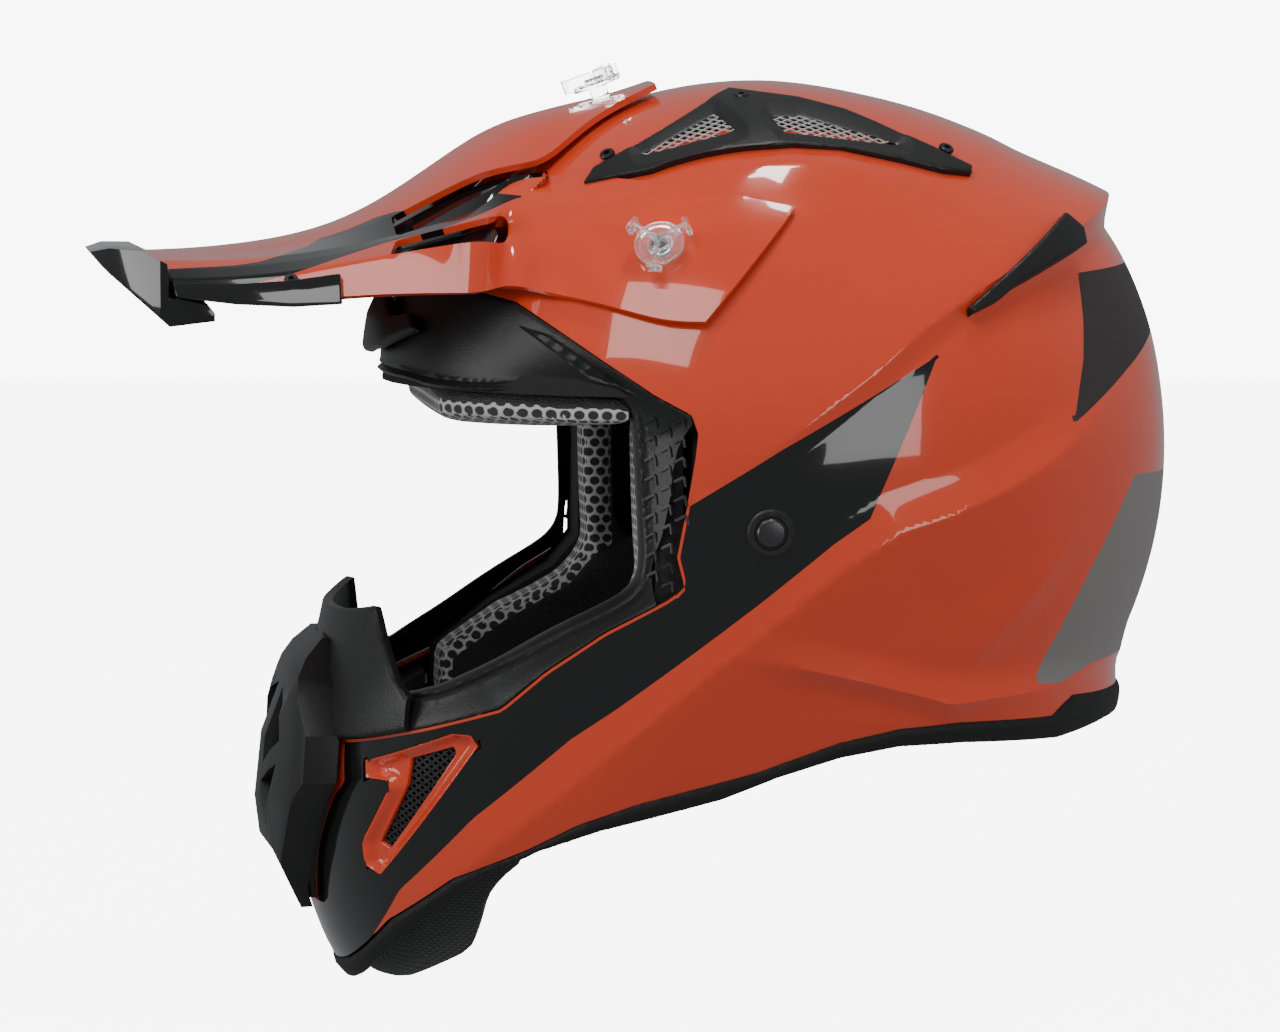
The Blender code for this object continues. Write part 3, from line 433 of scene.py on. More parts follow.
def thickened(bm, wall):
    """Gives a skin its wall on the inner side, closed round its edges but for the middle plane."""
    layer = bm.verts.layers.float_vector["skin"]
    outer = bm.faces[:]
    borders = [(e.verts[0], e.verts[1], e.link_faces[0]) for e in bm.edges
               if len(e.link_faces) == 1 and max(abs(v.co.x) for v in e.verts) > MIDDLE]
    twin = {}
    for vert in bm.verts[:]:
        inward = vert[layer] * wall
        if abs(vert.co.x) < MIDDLE:
            inward.x = 0
        made = bm.verts.new(vert.co - inward)
        made[layer] = vert[layer]
        twin[vert] = made
    for face in outer:
        made = bm.faces.new([twin[v] for v in reversed(face.verts)])
        made.material_index = face.material_index
    for one, two, face in borders:
        ordered = [loop.vert for loop in face.loops]
        at = ordered.index(one)
        if ordered[(at + 1) % len(ordered)] is two:
            one, two = two, one
        made = bm.faces.new([one, two, twin[two], twin[one]])
        made.material_index = face.material_index
    return bm


def box_uv(mesh):
    """UVs in metres, each face laid flat along the axis that it faces most."""
    uv = mesh.uv_layers.new(name="UVMap")
    count = len(mesh.loops)
    co = np.empty(len(mesh.vertices) * 3)
    mesh.vertices.foreach_get("co", co)
    co = co.reshape(-1, 3)
    index = np.empty(count, int)
    mesh.loops.foreach_get("vertex_index", index)
    normal = np.empty(len(mesh.polygons) * 3)
    mesh.polygons.foreach_get("normal", normal)
    totals = np.empty(len(mesh.polygons), int)
    mesh.polygons.foreach_get("loop_total", totals)
    axis = np.repeat(np.abs(normal.reshape(-1, 3)).argmax(1), totals)
    place = co[index]
    flat = np.where((axis == 0)[:, None], place[:, [1, 2]],
                    np.where((axis == 1)[:, None], place[:, [0, 2]], place[:, [0, 1]]))
    uv.data.foreach_set("uv", flat.ravel())


SHARP_ANGLE = math.radians(32)


def linked(name, data):
    """A new object in the scene."""
    obj = bpy.data.objects.new(name, data)
    bpy.context.scene.collection.objects.link(obj)
    return obj


def finished(bm, name, paints, sharp=SHARP_ANGLE):
    """A piece in metres from a bmesh in mm, with its materials and UVs, linked into the scene."""
    for vert in bm.verts:
        vert.co *= MM
    bmesh.ops.recalc_face_normals(bm, faces=bm.faces)
    mesh = bpy.data.meshes.new(name)
    bm.to_mesh(mesh)
    bm.free()
    for attribute in [a.name for a in mesh.attributes if a.name == "skin"]:
        mesh.attributes.remove(mesh.attributes[attribute])
    for paint_used in paints:
        mesh.materials.append(paint_used)
    mesh.shade_smooth()
    mesh.set_sharp_from_angle(angle=sharp)
    box_uv(mesh)
    return linked(name, mesh)


MEAN_REACH = 140.0              # the skin's usual distance from its core
MARGIN = 4.0                    # grids reach this far past their outline


def window(outline, pitch):
    """Angles and tilts that cover an outline of the side view at a pitch in mm."""
    points = np.array(outline, float)
    angle, tilt = polar(points[:, 0], points[:, 1])
    turns = np.radians(angle)
    middle = math.degrees(math.atan2(np.mean(np.sin(turns)), np.mean(np.cos(turns))))
    angle = (angle - middle + 180) % 360 - 180
    spare = MARGIN / MEAN_REACH
    low = angle.min() - math.degrees(spare) * 2 + middle
    high = angle.max() + math.degrees(spare) * 2 + middle
    start = max(tilt.min() - spare, 0.03)
    end = min(tilt.max() + spare * 1.5, math.pi / 2)
    if end > math.pi / 2 - 0.05:
        end = math.pi / 2
    step = math.degrees(pitch / (MEAN_REACH * max(math.sin(end), 0.4)))
    angles = np.linspace(low, high, max(int((high - low) / step), 4))
    tilts = np.linspace(start, end, max(int((end - start) * MEAN_REACH / pitch), 4))
    return angles, tilts


def edge_round(field, radius):
    """A push height that rounds a plate's edge down over radius."""
    def height(co):
        t = np.clip(field(co) / radius, 0, 1)
        return -radius * (1 - np.sqrt(np.maximum(0, 1 - (1 - t) ** 2)))
    return height


EDGE_START = 0.3                # where a rounded edge gets its first line, as a share of its width


def skin_plate(name, outline, proud, wall, paints, pitch=1.2, soft=1.2, holes=(), extra=None, creased=True,
               span=None):
    """A plate that lies on the skin inside a side-view outline, with rounded edges."""
    field = outline_field(outline)
    hole_fields = [outline_field(hole) for hole in holes]
    angles, tilts = span or window(outline, pitch)
    bm = skin_grid(angles, tilts, proud, creased)
    cut(bm, field)
    drop_faces(bm, field)
    for hole in hole_fields:
        cut(bm, hole)
        drop_faces(bm, hole, inside=True)
    for level in (soft * EDGE_START, soft):
        cut(bm, field, level)
    for hole in hole_fields:
        for level in (-soft * EDGE_START, -soft):
            cut(bm, hole, level)
    heights = [edge_round(field, soft)]
    for hole in hole_fields:
        heights.append(edge_round(lambda co, f=hole: -f(co), soft))
    if extra is not None:
        heights.append(extra)
    push(bm, lambda co: sum(h(co) for h in heights))
    thickened(bm, wall)
    mirrored(bm)
    return finished(bm, name, paints)


# ---- Materials: sizes in their shaders are in metres ----
COAT_ROUGHNESS = 0.03
COATED_SPECULAR, BARE_SPECULAR = 0.15, 0.35
FINE_RELIEF = 0.0004            # depth of grains and weaves
CLOTH_ROUGHNESS, CLOTH_SHEEN, SHEEN_ROUGHNESS = 0.9, 0.3, 0.5
FUZZ = 0.3
SPACER_GREY, SPACER_HOLE = (0.56, 0.55, 0.54), (0.03, 0.03, 0.03)
SPACER_PITCH, SPACER_HOLE_SIZE = 235.0, 0.43        # holes in a metre, and their radius in pitches
SPACER_RELIEF = 0.0006


class Paint:
    """A material with its shader and short ways to add and join nodes."""

    def __init__(self, name, color, roughness, metallic=0.0, coat=0.0):
        self.material = bpy.data.materials.new(name)
        self.material.use_nodes = True
        self.tree = self.material.node_tree
        self.shader = self.tree.nodes["Principled BSDF"]
        self.set("Base Color", (*color, 1.0))
        self.set("Roughness", roughness)
        self.set("Metallic", metallic)
        self.set("Coat Weight", coat)
        self.set("Coat Roughness", COAT_ROUGHNESS)
        self.set("Specular IOR Level", COATED_SPECULAR if coat else BARE_SPECULAR)

    def set(self, socket, value):
        self.shader.inputs[socket].default_value = value

    def node(self, kind, **settings):
        made = self.tree.nodes.new(kind)
        for key, value in settings.items():
            setattr(made, key, value)
        return made

    def group(self, tree, **values):
        made = self.node("ShaderNodeGroup", node_tree=tree)
        for key, value in values.items():
            made.inputs[key.replace("_", " ")].default_value = value
        return made

    def join(self, out, into):
        self.tree.links.new(out, into)

    def bump(self, height, strength, distance):
        bump = self.node("ShaderNodeBump")
        bump.inputs["Strength"].default_value = strength
        bump.inputs["Distance"].default_value = distance
        self.join(height, bump.inputs["Height"])
        self.join(bump.outputs["Normal"], self.shader.inputs["Normal"])

    def shade(self, factor, dark, light):
        """Base colour between two colours by a factor."""
        mix = self.node("ShaderNodeMix", data_type="RGBA")
        mix.inputs["A"].default_value = (*dark, 1.0)
        mix.inputs["B"].default_value = (*light, 1.0)
        self.join(factor, mix.inputs["Factor"])
        self.join(mix.outputs["Result"], self.shader.inputs["Base Color"])


def shader_group(name, inputs, outputs):
    """A shader node group with its float sockets, and its two end nodes."""
    tree = bpy.data.node_groups.new(name, "ShaderNodeTree")
    for title, default in inputs:
        socket = tree.interface.new_socket(title, in_out="INPUT", socket_type="NodeSocketFloat")
        socket.default_value = default
    for title in outputs:
        tree.interface.new_socket(title, in_out="OUTPUT", socket_type="NodeSocketFloat")
    return tree, tree.nodes.new("NodeGroupInput"), tree.nodes.new("NodeGroupOutput")


def maths(tree, operation, first, second=None, third=None):
    """A math node's output; each value is a number or another node's output."""
    node = tree.nodes.new("ShaderNodeMath")
    node.operation = operation
    for socket, value in zip(node.inputs, (first, second, third)):
        if value is None:
            continue
        if isinstance(value, (int, float)):
            socket.default_value = value
        else:
            tree.links.new(value, socket)
    return node.outputs[0]


def noise(tree, scale, detail):
    """Noise over the object's own coordinates."""
    node = tree.nodes.new("ShaderNodeTexNoise")
    node.inputs["Detail"].default_value = detail
    if isinstance(scale, (int, float)):
        node.inputs["Scale"].default_value = scale
    else:
        tree.links.new(scale, node.inputs["Scale"])
    tree.links.new(tree.nodes.new("ShaderNodeTexCoord").outputs["Object"], node.inputs["Vector"])
    return node.outputs["Fac"]


def uv_parts(tree, per_metre_u, per_metre_v):
    """U and V counted in repeats."""
    place = tree.nodes.new("ShaderNodeSeparateXYZ")
    tree.links.new(tree.nodes.new("ShaderNodeTexCoord").outputs["UV"], place.inputs[0])
    return (maths(tree, "MULTIPLY", place.outputs[0], per_metre_u),
            maths(tree, "MULTIPLY", place.outputs[1], per_metre_v))


def make_wear_group():
    """Handling marks: a roughness that drifts, and a fine moulded grain."""
    tree, given, out = shader_group("Wear", [("Roughness", 0.3), ("Drift", 0.08), ("Grain Scale", 900.0)],
                                    ["Roughness", "Height", "Drift"])
    broad = noise(tree, 14.0, 5.0)
    fine = noise(tree, 160.0, 3.0)
    mixed = maths(tree, "MULTIPLY_ADD", fine, 0.35, maths(tree, "MULTIPLY", broad, 0.65))
    centred = maths(tree, "SUBTRACT", mixed, 0.5)
    rough = maths(tree, "MULTIPLY_ADD", centred, given.outputs["Drift"], given.outputs["Roughness"])
    tree.links.new(maths(tree, "MAXIMUM", rough, 0.02), out.inputs["Roughness"])
    tree.links.new(noise(tree, given.outputs["Grain Scale"], 2.0), out.inputs["Height"])
    tree.links.new(mixed, out.inputs["Drift"])
    return tree


def make_weave_group():
    """A plain weave of round threads, with a little fuzz."""
    tree, given, out = shader_group("Weave", [("Threads", 1600.0), ("Fuzz", 0.25)], ["Height"])
    u, v = uv_parts(tree, given.outputs["Threads"], given.outputs["Threads"])
    across = maths(tree, "ABSOLUTE", maths(tree, "SINE", maths(tree, "MULTIPLY", u, math.pi)))
    along = maths(tree, "ABSOLUTE", maths(tree, "SINE", maths(tree, "MULTIPLY", v, math.pi)))
    cell = maths(tree, "ADD", maths(tree, "FLOOR", u), maths(tree, "FLOOR", v))
    over = maths(tree, "FLOORED_MODULO", cell, 2.0)
    picked = maths(tree, "ADD", maths(tree, "MULTIPLY", across, over),
                   maths(tree, "MULTIPLY", along, maths(tree, "SUBTRACT", 1.0, over)))
    fuzz = noise(tree, 700.0, 5.0)
    height = maths(tree, "MULTIPLY_ADD", fuzz, given.outputs["Fuzz"], picked)
    tree.links.new(height, out.inputs["Height"])
    return tree


def make_holes_group():
    """Staggered oval holes of a spacer fabric: 1 on the cloth, 0 in a hole."""
    tree, given, out = shader_group("Holes", [("Pitch", 300.0), ("Size", 0.33)], ["Cloth", "Height"])
    u, v = uv_parts(tree, given.outputs["Pitch"], given.outputs["Pitch"])
    row = maths(tree, "MULTIPLY", v, 1.25)
    odd = maths(tree, "FLOORED_MODULO", maths(tree, "FLOOR", row), 2.0)
    shifted = maths(tree, "MULTIPLY_ADD", odd, 0.5, u)
    du = maths(tree, "SUBTRACT", maths(tree, "FRACT", shifted), 0.5)
    dv = maths(tree, "SUBTRACT", maths(tree, "FRACT", row), 0.5)
    square = maths(tree, "ADD", maths(tree, "MULTIPLY", du, du),
                   maths(tree, "MULTIPLY", maths(tree, "MULTIPLY", dv, dv), 0.8))
    distance = maths(tree, "SQRT", square)
    step = tree.nodes.new("ShaderNodeMapRange")
    step.interpolation_type = "SMOOTHSTEP"
    tree.links.new(distance, step.inputs["Value"])
    tree.links.new(maths(tree, "MULTIPLY", given.outputs["Size"], 0.8), step.inputs["From Min"])
    tree.links.new(given.outputs["Size"], step.inputs["From Max"])
    fibre = noise(tree, 2500.0, 3.0)
    tree.links.new(step.outputs["Result"], out.inputs["Cloth"])
    tree.links.new(maths(tree, "MULTIPLY_ADD", fibre, 0.3, step.outputs["Result"]), out.inputs["Height"])
    return tree


WEAR = make_wear_group()
WEAVE = make_weave_group()
HOLES = make_holes_group()


def hard(name, color, roughness, drift=0.08, grain=900.0, bump=0.05, metallic=0.0, coat=0.0, tint=0.06):
    """A painted, moulded or metal finish with drifting roughness and a fine grain."""
    paint_made = Paint(name, color, roughness, metallic, coat)
    wear = paint_made.group(WEAR, Roughness=roughness, Drift=drift, Grain_Scale=grain)
    paint_made.join(wear.outputs["Roughness"], paint_made.shader.inputs["Roughness"])
    paint_made.bump(wear.outputs["Height"], bump, FINE_RELIEF)
    paint_made.shade(wear.outputs["Drift"], [c * (1 - tint) for c in color], [c * (1 + tint) for c in color])
    return paint_made.material


def woven(name, color, threads, strength, sheen=CLOTH_SHEEN):
    """Woven cloth, with painted shade between its threads and thread tops painted lighter as if lit."""
    paint_made = Paint(name, color, CLOTH_ROUGHNESS)
    weave = paint_made.group(WEAVE, Threads=threads, Fuzz=FUZZ)
    paint_made.set("Sheen Weight", sheen)
    paint_made.set("Sheen Roughness", SHEEN_ROUGHNESS)
    paint_made.bump(weave.outputs["Height"], strength, FINE_RELIEF)
    # Painted shade and light: the base colour darkens between the threads and lightens on their tops.
    paint_made.shade(weave.outputs["Height"], [c * 0.55 for c in color], [c * 1.5 for c in color])
    return paint_made.material


def lining(name, color, threads=1900.0):
    """Brushed cloth, and spacer mesh with oval holes where the strip attribute is above zero."""
    paint_made = Paint(name, color, CLOTH_ROUGHNESS)
    tree = paint_made.tree
    weave = paint_made.group(WEAVE, Threads=threads, Fuzz=FUZZ)
    holes = paint_made.group(HOLES, Pitch=SPACER_PITCH, Size=SPACER_HOLE_SIZE)
    strip = paint_made.node("ShaderNodeAttribute", attribute_name="strip")
    share = maths(tree, "GREATER_THAN", strip.outputs["Fac"], 0.0)
    net = paint_made.node("ShaderNodeMix", data_type="RGBA")
    net.inputs["A"].default_value = (*SPACER_HOLE, 1.0)
    net.inputs["B"].default_value = (*SPACER_GREY, 1.0)
    paint_made.join(holes.outputs["Cloth"], net.inputs["Factor"])
    whole = paint_made.node("ShaderNodeMix", data_type="RGBA")
    paint_made.join(share, whole.inputs["Factor"])
    whole.inputs["A"].default_value = (*color, 1.0)
    paint_made.join(net.outputs["Result"], whole.inputs["B"])
    paint_made.join(whole.outputs["Result"], paint_made.shader.inputs["Base Color"])
    raised = maths(tree, "MULTIPLY", holes.outputs["Height"], share)
    plain = maths(tree, "MULTIPLY", weave.outputs["Height"], maths(tree, "SUBTRACT", 1.0, share))
    paint_made.set("Sheen Weight", CLOTH_SHEEN)
    paint_made.set("Sheen Roughness", SHEEN_ROUGHNESS)
    paint_made.bump(maths(tree, "ADD", raised, plain), 0.7, SPACER_RELIEF)
    return paint_made.material


ORANGE = hard("Orange paint", (0.74, 0.066, 0.024), 0.16, drift=0.1, bump=0.02, coat=1.0, tint=0.04)
GLOSS_BLACK = hard("Gloss black paint", (0.006, 0.006, 0.0065), 0.12, drift=0.06, bump=0.015, coat=1.0)
SATIN = hard("Satin black plastic", (0.013, 0.013, 0.0135), 0.38, grain=1500.0, bump=0.22)
SATIN_TREAD = hard("Moulded black tread", (0.02, 0.02, 0.0205), 0.36, grain=1500.0, bump=0.15)
MATT_BLACK = hard("Matt black film", (0.035, 0.03, 0.03), 0.6, grain=1800.0, bump=0.1)
GREY_FILM = hard("Grey film", (0.215, 0.2, 0.197), 0.45, grain=1800.0, bump=0.08)
RUBBER = hard("Black rubber", (0.012, 0.012, 0.012), 0.66, grain=1100.0, bump=0.3)
EPS = hard("Moulded foam", (0.02, 0.02, 0.021), 0.85, grain=420.0, bump=0.7)
STEEL = hard("Plated steel", (0.56, 0.56, 0.55), 0.26, grain=2000.0, bump=0.08, metallic=1.0)
RIVET_STEEL = hard("Brushed rivet", (0.09, 0.09, 0.095), 0.3, grain=2400.0, bump=0.12, metallic=1.0)
BLACK_STEEL = hard("Blackened screw", (0.05, 0.05, 0.052), 0.34, grain=2000.0, bump=0.1, metallic=0.8)
SILVER_WIRE = hard("Silver mesh", (0.72, 0.72, 0.71), 0.34, grain=2500.0, bump=0.1, metallic=0.6)
BLACK_WIRE = hard("Black mesh", (0.02, 0.02, 0.02), 0.4, grain=2500.0, bump=0.1)
BRUSHED = lining("Brushed lining", (0.014, 0.014, 0.015))
PLUSH = lining("Padded lining", (0.022, 0.022, 0.025), threads=1300.0)
CURTAIN = woven("Curtain cloth", (0.016, 0.016, 0.017), threads=900.0, strength=0.6)
WEBBING = woven("Strap webbing", (0.016, 0.016, 0.017), threads=700.0, strength=0.8, sheen=0.2)


def make_clear():
    """The thumb screws' clear plastic."""
    paint_made = Paint("Clear plastic", (0.93, 0.95, 0.96), 0.06)
    paint_made.set("Transmission Weight", 0.94)
    paint_made.set("IOR", 1.46)
    wear = paint_made.group(WEAR, Roughness=0.07, Drift=0.08, Grain_Scale=700.0)
    paint_made.join(wear.outputs["Roughness"], paint_made.shader.inputs["Roughness"])
    paint_made.bump(wear.outputs["Height"], 0.03, 0.0003)
    return paint_made.material


CLEAR = make_clear()


# ---- Repeated details: one tree that sets a unit on every point ----
def make_repeat_tree():
    """A tree that sets a unit on every point, turned by the point's own directions."""
    tree = bpy.data.node_groups.new("Repeat on points", "GeometryNodeTree")
    new_socket = tree.interface.new_socket
    sockets = {}
    new_socket("Geometry", in_out="INPUT", socket_type="NodeSocketGeometry")
    for title, kind in (("Unit", "Object"), ("Size", "Float"), ("Size Jitter", "Float"), ("Seed", "Int"),
                        ("Material", "Material")):
        made = new_socket(title, in_out="INPUT", socket_type=f"NodeSocket{kind}")
        sockets[title] = made.identifier
    new_socket("Geometry", in_out="OUTPUT", socket_type="NodeSocketGeometry")
    nodes, link = tree.nodes, tree.links.new
    given, out = nodes.new("NodeGroupInput"), nodes.new("NodeGroupOutput")
    unit = nodes.new("GeometryNodeObjectInfo")
    link(given.outputs["Unit"], unit.inputs["Object"])
    turned = nodes.new("FunctionNodeAxesToRotation")
    turned.primary_axis, turned.secondary_axis = "Z", "X"
    for title, socket in (("facing", turned.inputs[0]), ("along", turned.inputs[1])):
        named = nodes.new("GeometryNodeInputNamedAttribute")
        named.data_type = "FLOAT_VECTOR"
        named.inputs["Name"].default_value = title
        link(named.outputs["Attribute"], socket)
    jitter = nodes.new("FunctionNodeRandomValue")
    link(given.outputs["Seed"], jitter.inputs["Seed"])
    jitter.inputs[2].default_value = -1.0
    jitter.inputs[3].default_value = 1.0
    scaled = nodes.new("ShaderNodeMath")
    scaled.operation = "MULTIPLY_ADD"
    link(jitter.outputs[1], scaled.inputs[0])
    link(given.outputs["Size Jitter"], scaled.inputs[1])
    link(given.outputs["Size"], scaled.inputs[2])
    placed_units = nodes.new("GeometryNodeInstanceOnPoints")
    link(given.outputs["Geometry"], placed_units.inputs["Points"])
    link(unit.outputs["Geometry"], placed_units.inputs["Instance"])
    link(turned.outputs[0], placed_units.inputs["Rotation"])
    link(scaled.outputs[0], placed_units.inputs["Scale"])
    real = nodes.new("GeometryNodeRealizeInstances")
    link(placed_units.outputs["Instances"], real.inputs["Geometry"])
    paint_node = nodes.new("GeometryNodeSetMaterial")
    link(real.outputs["Geometry"], paint_node.inputs["Geometry"])
    link(given.outputs["Material"], paint_node.inputs["Material"])
    link(paint_node.outputs["Geometry"], out.inputs["Geometry"])
    return tree, sockets


REPEAT, REPEAT_SOCKETS = make_repeat_tree()


def repeated(name, unit_bm, points, facing, along, paint_used, jitter=0.0, seed=1):
    """The unit (a bmesh in mm) set on points (mm), turned to facing and along, as one piece."""
    unit_mesh = bpy.data.meshes.new(f"{name}_unit")
    for vert in unit_bm.verts:
        vert.co *= MM
    bmesh.ops.recalc_face_normals(unit_bm, faces=unit_bm.faces)
    unit_bm.to_mesh(unit_mesh)
    unit_bm.free()
    box_uv(unit_mesh)
    cloud = bpy.data.meshes.new(f"{name}_points")
    cloud.from_pydata([tuple(np.array(p) * MM) for p in points], [], [])
    for title, values in (("facing", facing), ("along", along)):
        attribute = cloud.attributes.new(title, "FLOAT_VECTOR", "POINT")
        attribute.data.foreach_set("vector", np.array(values, dtype=np.float32).ravel())
    holder = linked(f"{name}_holder", cloud)
    unit = linked(f"{name}_unit", unit_mesh)
    step = holder.modifiers.new("repeat", "NODES")
    step.node_group = REPEAT
    for title, value in (("Unit", unit), ("Size", 1.0), ("Size Jitter", jitter), ("Seed", seed),
                         ("Material", paint_used)):
        step[REPEAT_SOCKETS[title]] = value
    bpy.context.view_layer.update()
    made = holder.evaluated_get(bpy.context.evaluated_depsgraph_get())
    mesh = bpy.data.meshes.new_from_object(made)
    mesh.name = name
    bpy.data.objects.remove(holder, do_unlink=True)
    bpy.data.objects.remove(unit, do_unlink=True)
    mesh.shade_smooth()
    mesh.set_sharp_from_angle(angle=SHARP_ANGLE)
    return linked(name, mesh)


def onto_skin(points, offset=0.0):
    """Points in mm moved onto the skin along lines from its core, with the skin's normals there."""
    points = np.array(points, float)
    side = np.where(points[:, 0] < 0, -1.0, 1.0)
    dy, dz = points[:, 1] - CORE_Y, points[:, 2] - CORE_Z
    angle = np.degrees(np.arctan2(dz, dy)) % 360
    tilt = np.arctan2(np.hypot(dy, dz) / radius_at(angle), np.abs(points[:, 0]) / HALF_WIDTH)
    bare, normal = surface(angle, tilt), surface_normal(angle, tilt)
    moved = bare + normal * (offset + relief(bare))[:, None]
    flip = np.stack([side, np.ones_like(side), np.ones_like(side)], -1)
    return moved * flip, normal * flip


def side_point(y, z, offset=0.0, side=1):
    """The point of the skin seen at (y, z) from one side, and its normal."""
    angle, tilt = polar([y], [z])
    bare, normal = surface(angle, tilt), surface_normal(angle, tilt)
    moved = (bare + normal * (offset + relief(bare))[:, None])[0]
    flip = np.array([side, 1, 1])
    return moved * flip, normal[0] * flip


def lattice(centre, normal, along, across_count, along_count, pitch_across, pitch_along):
    """Points of a flat grid round centre, wide across and long along."""
    across = np.cross(normal, along)
    return np.array([centre + along * (i - along_count / 2) * pitch_along
                     + across * (j - across_count / 2) * pitch_across
                     for i in range(along_count + 1) for j in range(across_count + 1)])


def box_bm(size, centre, bm=None, matrix=None):
    """A box, turned by matrix before it moves to centre."""
    bm = bm or bmesh.new()
    where = Matrix.Translation(centre) @ (matrix or Matrix()) @ Matrix.Diagonal((*size, 1))
    bmesh.ops.create_cube(bm, size=1.0, matrix=where)
    return bm


def diamond_unit(pitch_x, pitch_y, width, height):
    """One crossing of an expanded metal mesh: four half struts."""
    bm = bmesh.new()
    for sx, sy in ((1, 1), (1, -1), (-1, 1), (-1, -1)):
        reach = Vector((sx * pitch_x / 2, sy * pitch_y / 2, 0))
        turn = Matrix.Rotation(math.atan2(reach.y, reach.x), 4, "Z")
        box_bm((reach.length, width, height), reach / 2, bm, turn)
    return bm


def wire_mesh(name, outline, side, offset, paint_used, pitch=(2.6, 2.6), width=0.55, beyond=3.0):
    """Expanded metal under an opening of the skin, with its last knots this far beyond the outline."""
    centre2 = np.mean(np.array(outline, float), axis=0)
    centre, normal = side_point(centre2[0], centre2[1], 0, side)
    along = np.cross(normal, np.cross(np.array([0.0, 1.0, 0.0]), normal))
    along /= np.linalg.norm(along)
    span = np.ptp(np.array(outline, float), axis=0).max() + 14
    flat = lattice(centre, normal, along, int(span / pitch[1]), int(span / pitch[0]), pitch[1], pitch[0])
    points, normals = onto_skin(flat, offset)
    inside = outline_field(outline)(points) > -beyond
    facing = normals[inside]
    return repeated(name, diamond_unit(*pitch, width, 0.5), points[inside], facing,
                    np.repeat(along[None, :], len(facing), 0), paint_used)


def piece(obj, body, *nodes, slot=None):
    """Fastens a piece to its body, in place of its CAD nodes."""
    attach(obj, body)
    if nodes:
        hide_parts(*nodes)


# ---- Outer shell ----
BAND = [(-43, -27), (-12, -8), (41, 21), (17, -31), (5, -39), (-19, -58), (-65, -93), (-79, -103),
        (-109, -131), (-131, -158), (-145, -192), (-170, -260), (-300, -240), (-300, -60), (-60, -40),
        (-60, -28)]
REAR_FILM = [(160, 50), (97, 46), (97, 30), (96, 18), (91, -3), (128, 22), (160, 40)]
GREY_PANEL = [(150, -24), (118, -22), (99, -54), (79, -90), (90, -91), (99, -88), (106, -86), (150, -84)]
CHIN_BEZEL = [(-142, -115), (-116, -103), (-110, -103), (-108, -107), (-137, -154), (-142, -151),
              (-143, -143), (-135, -123), (-136, -121), (-142, -121)]
CHIN_FINE = 0.7                 # pitch of the chin bezel's skin
CHIN_HOLE = [(-130, -113), (-117, -108), (-116, -110), (-136, -145), (-139, -143), (-131, -122)]
MOUTH_EDGE = [(0, -70), (22, -78), (38, -93), (49.6, -109), (50.6, -123.6), (44.6, -129), (28.6, -151),
              (16, -171), (0, -171)]
MOUTH_HOLE = [(-30, -100), (30, -100), (20, -150), (-20, -150)]
SEAM = 0.9                      # the band of bare paint left round the eyeport trim


def front_field(outline):
    """An outline seen from the front, only on the front half of the skin."""
    flat = outline_field(outline, (0, 2))
    return lambda co: np.minimum(flat(co), -60 - co[:, 1])


SHELL_ANGLES = np.linspace(0, 360, 331)
SHELL_TILTS = np.linspace(0, math.pi / 2, 86)
SHELL_SHARP = math.radians(40)
CREASE_REACH = 30               # the first creases get a line of edges along their tops
BEZEL_DEPTH, BEZEL_WIDTH = 3.0, 3.2


def make_shell():
    """The painted shell with its openings and colour areas, and the bezels of its chin vents."""
    bm = skin_grid(SHELL_ANGLES, SHELL_TILTS, 0, creased=False)
    for field in RIDGE_FIELDS[:3]:
        cut(bm, lambda co, f=field: np.where(np.abs(f(co)[0]) < CREASE_REACH, f(co)[0], CREASE_REACH))
    push(bm, relief)
    eyeport = outline_field(EYEPORT)
    lower = outline_field(RIM + [(-260, -210), (-260, -300), (240, -300)])
    mouth = front_field(MOUTH_HOLE)
    for field in (eyeport, lower, mouth):
        cut(bm, field)
        drop_faces(bm, field, inside=True)
    for outline in (grown_outline(TOP_WINDOW_FRONT, 2), grown_outline(TOP_WINDOW_REAR, 2.5), CHIN_BEZEL):
        field = outline_field(outline)
        cut(bm, field)
        drop_faces(bm, field, inside=True)
    band, mouth_edge = outline_field(BAND), front_field(MOUTH_EDGE)
    cut(bm, band)
    cut(bm, eyeport, -SEAM)
    cut(bm, mouth_edge)
    paint(bm, band, 1)
    paint(bm, lambda co: eyeport(co) + SEAM, 0)
    paint(bm, mouth_edge, 0)
    for index, outline in ((2, REAR_FILM), (3, GREY_PANEL)):
        field = outline_field(outline)
        cut(bm, field)
        paint(bm, lambda co, f=field: np.minimum(f(co), co[:, 1]), index)
    thickened(bm, SHELL_WALL)
    mirrored(bm)
    shell = finished(bm, "Shell", [ORANGE, GLOSS_BLACK, MATT_BLACK, GREY_FILM], sharp=SHELL_SHARP)
    piece(shell, "helmet", "outer_shell", slot="orange_paint")
    field = outline_field(CHIN_BEZEL)
    bezel = skin_plate("Chin_bezels", CHIN_BEZEL, 0, SHELL_WALL, [ORANGE], pitch=CHIN_FINE, soft=0.5,
                       holes=(CHIN_HOLE,), extra=lambda co: -BEZEL_DEPTH * smooth(field(co) / BEZEL_WIDTH))
    piece(bezel, "helmet", slot="orange_paint")


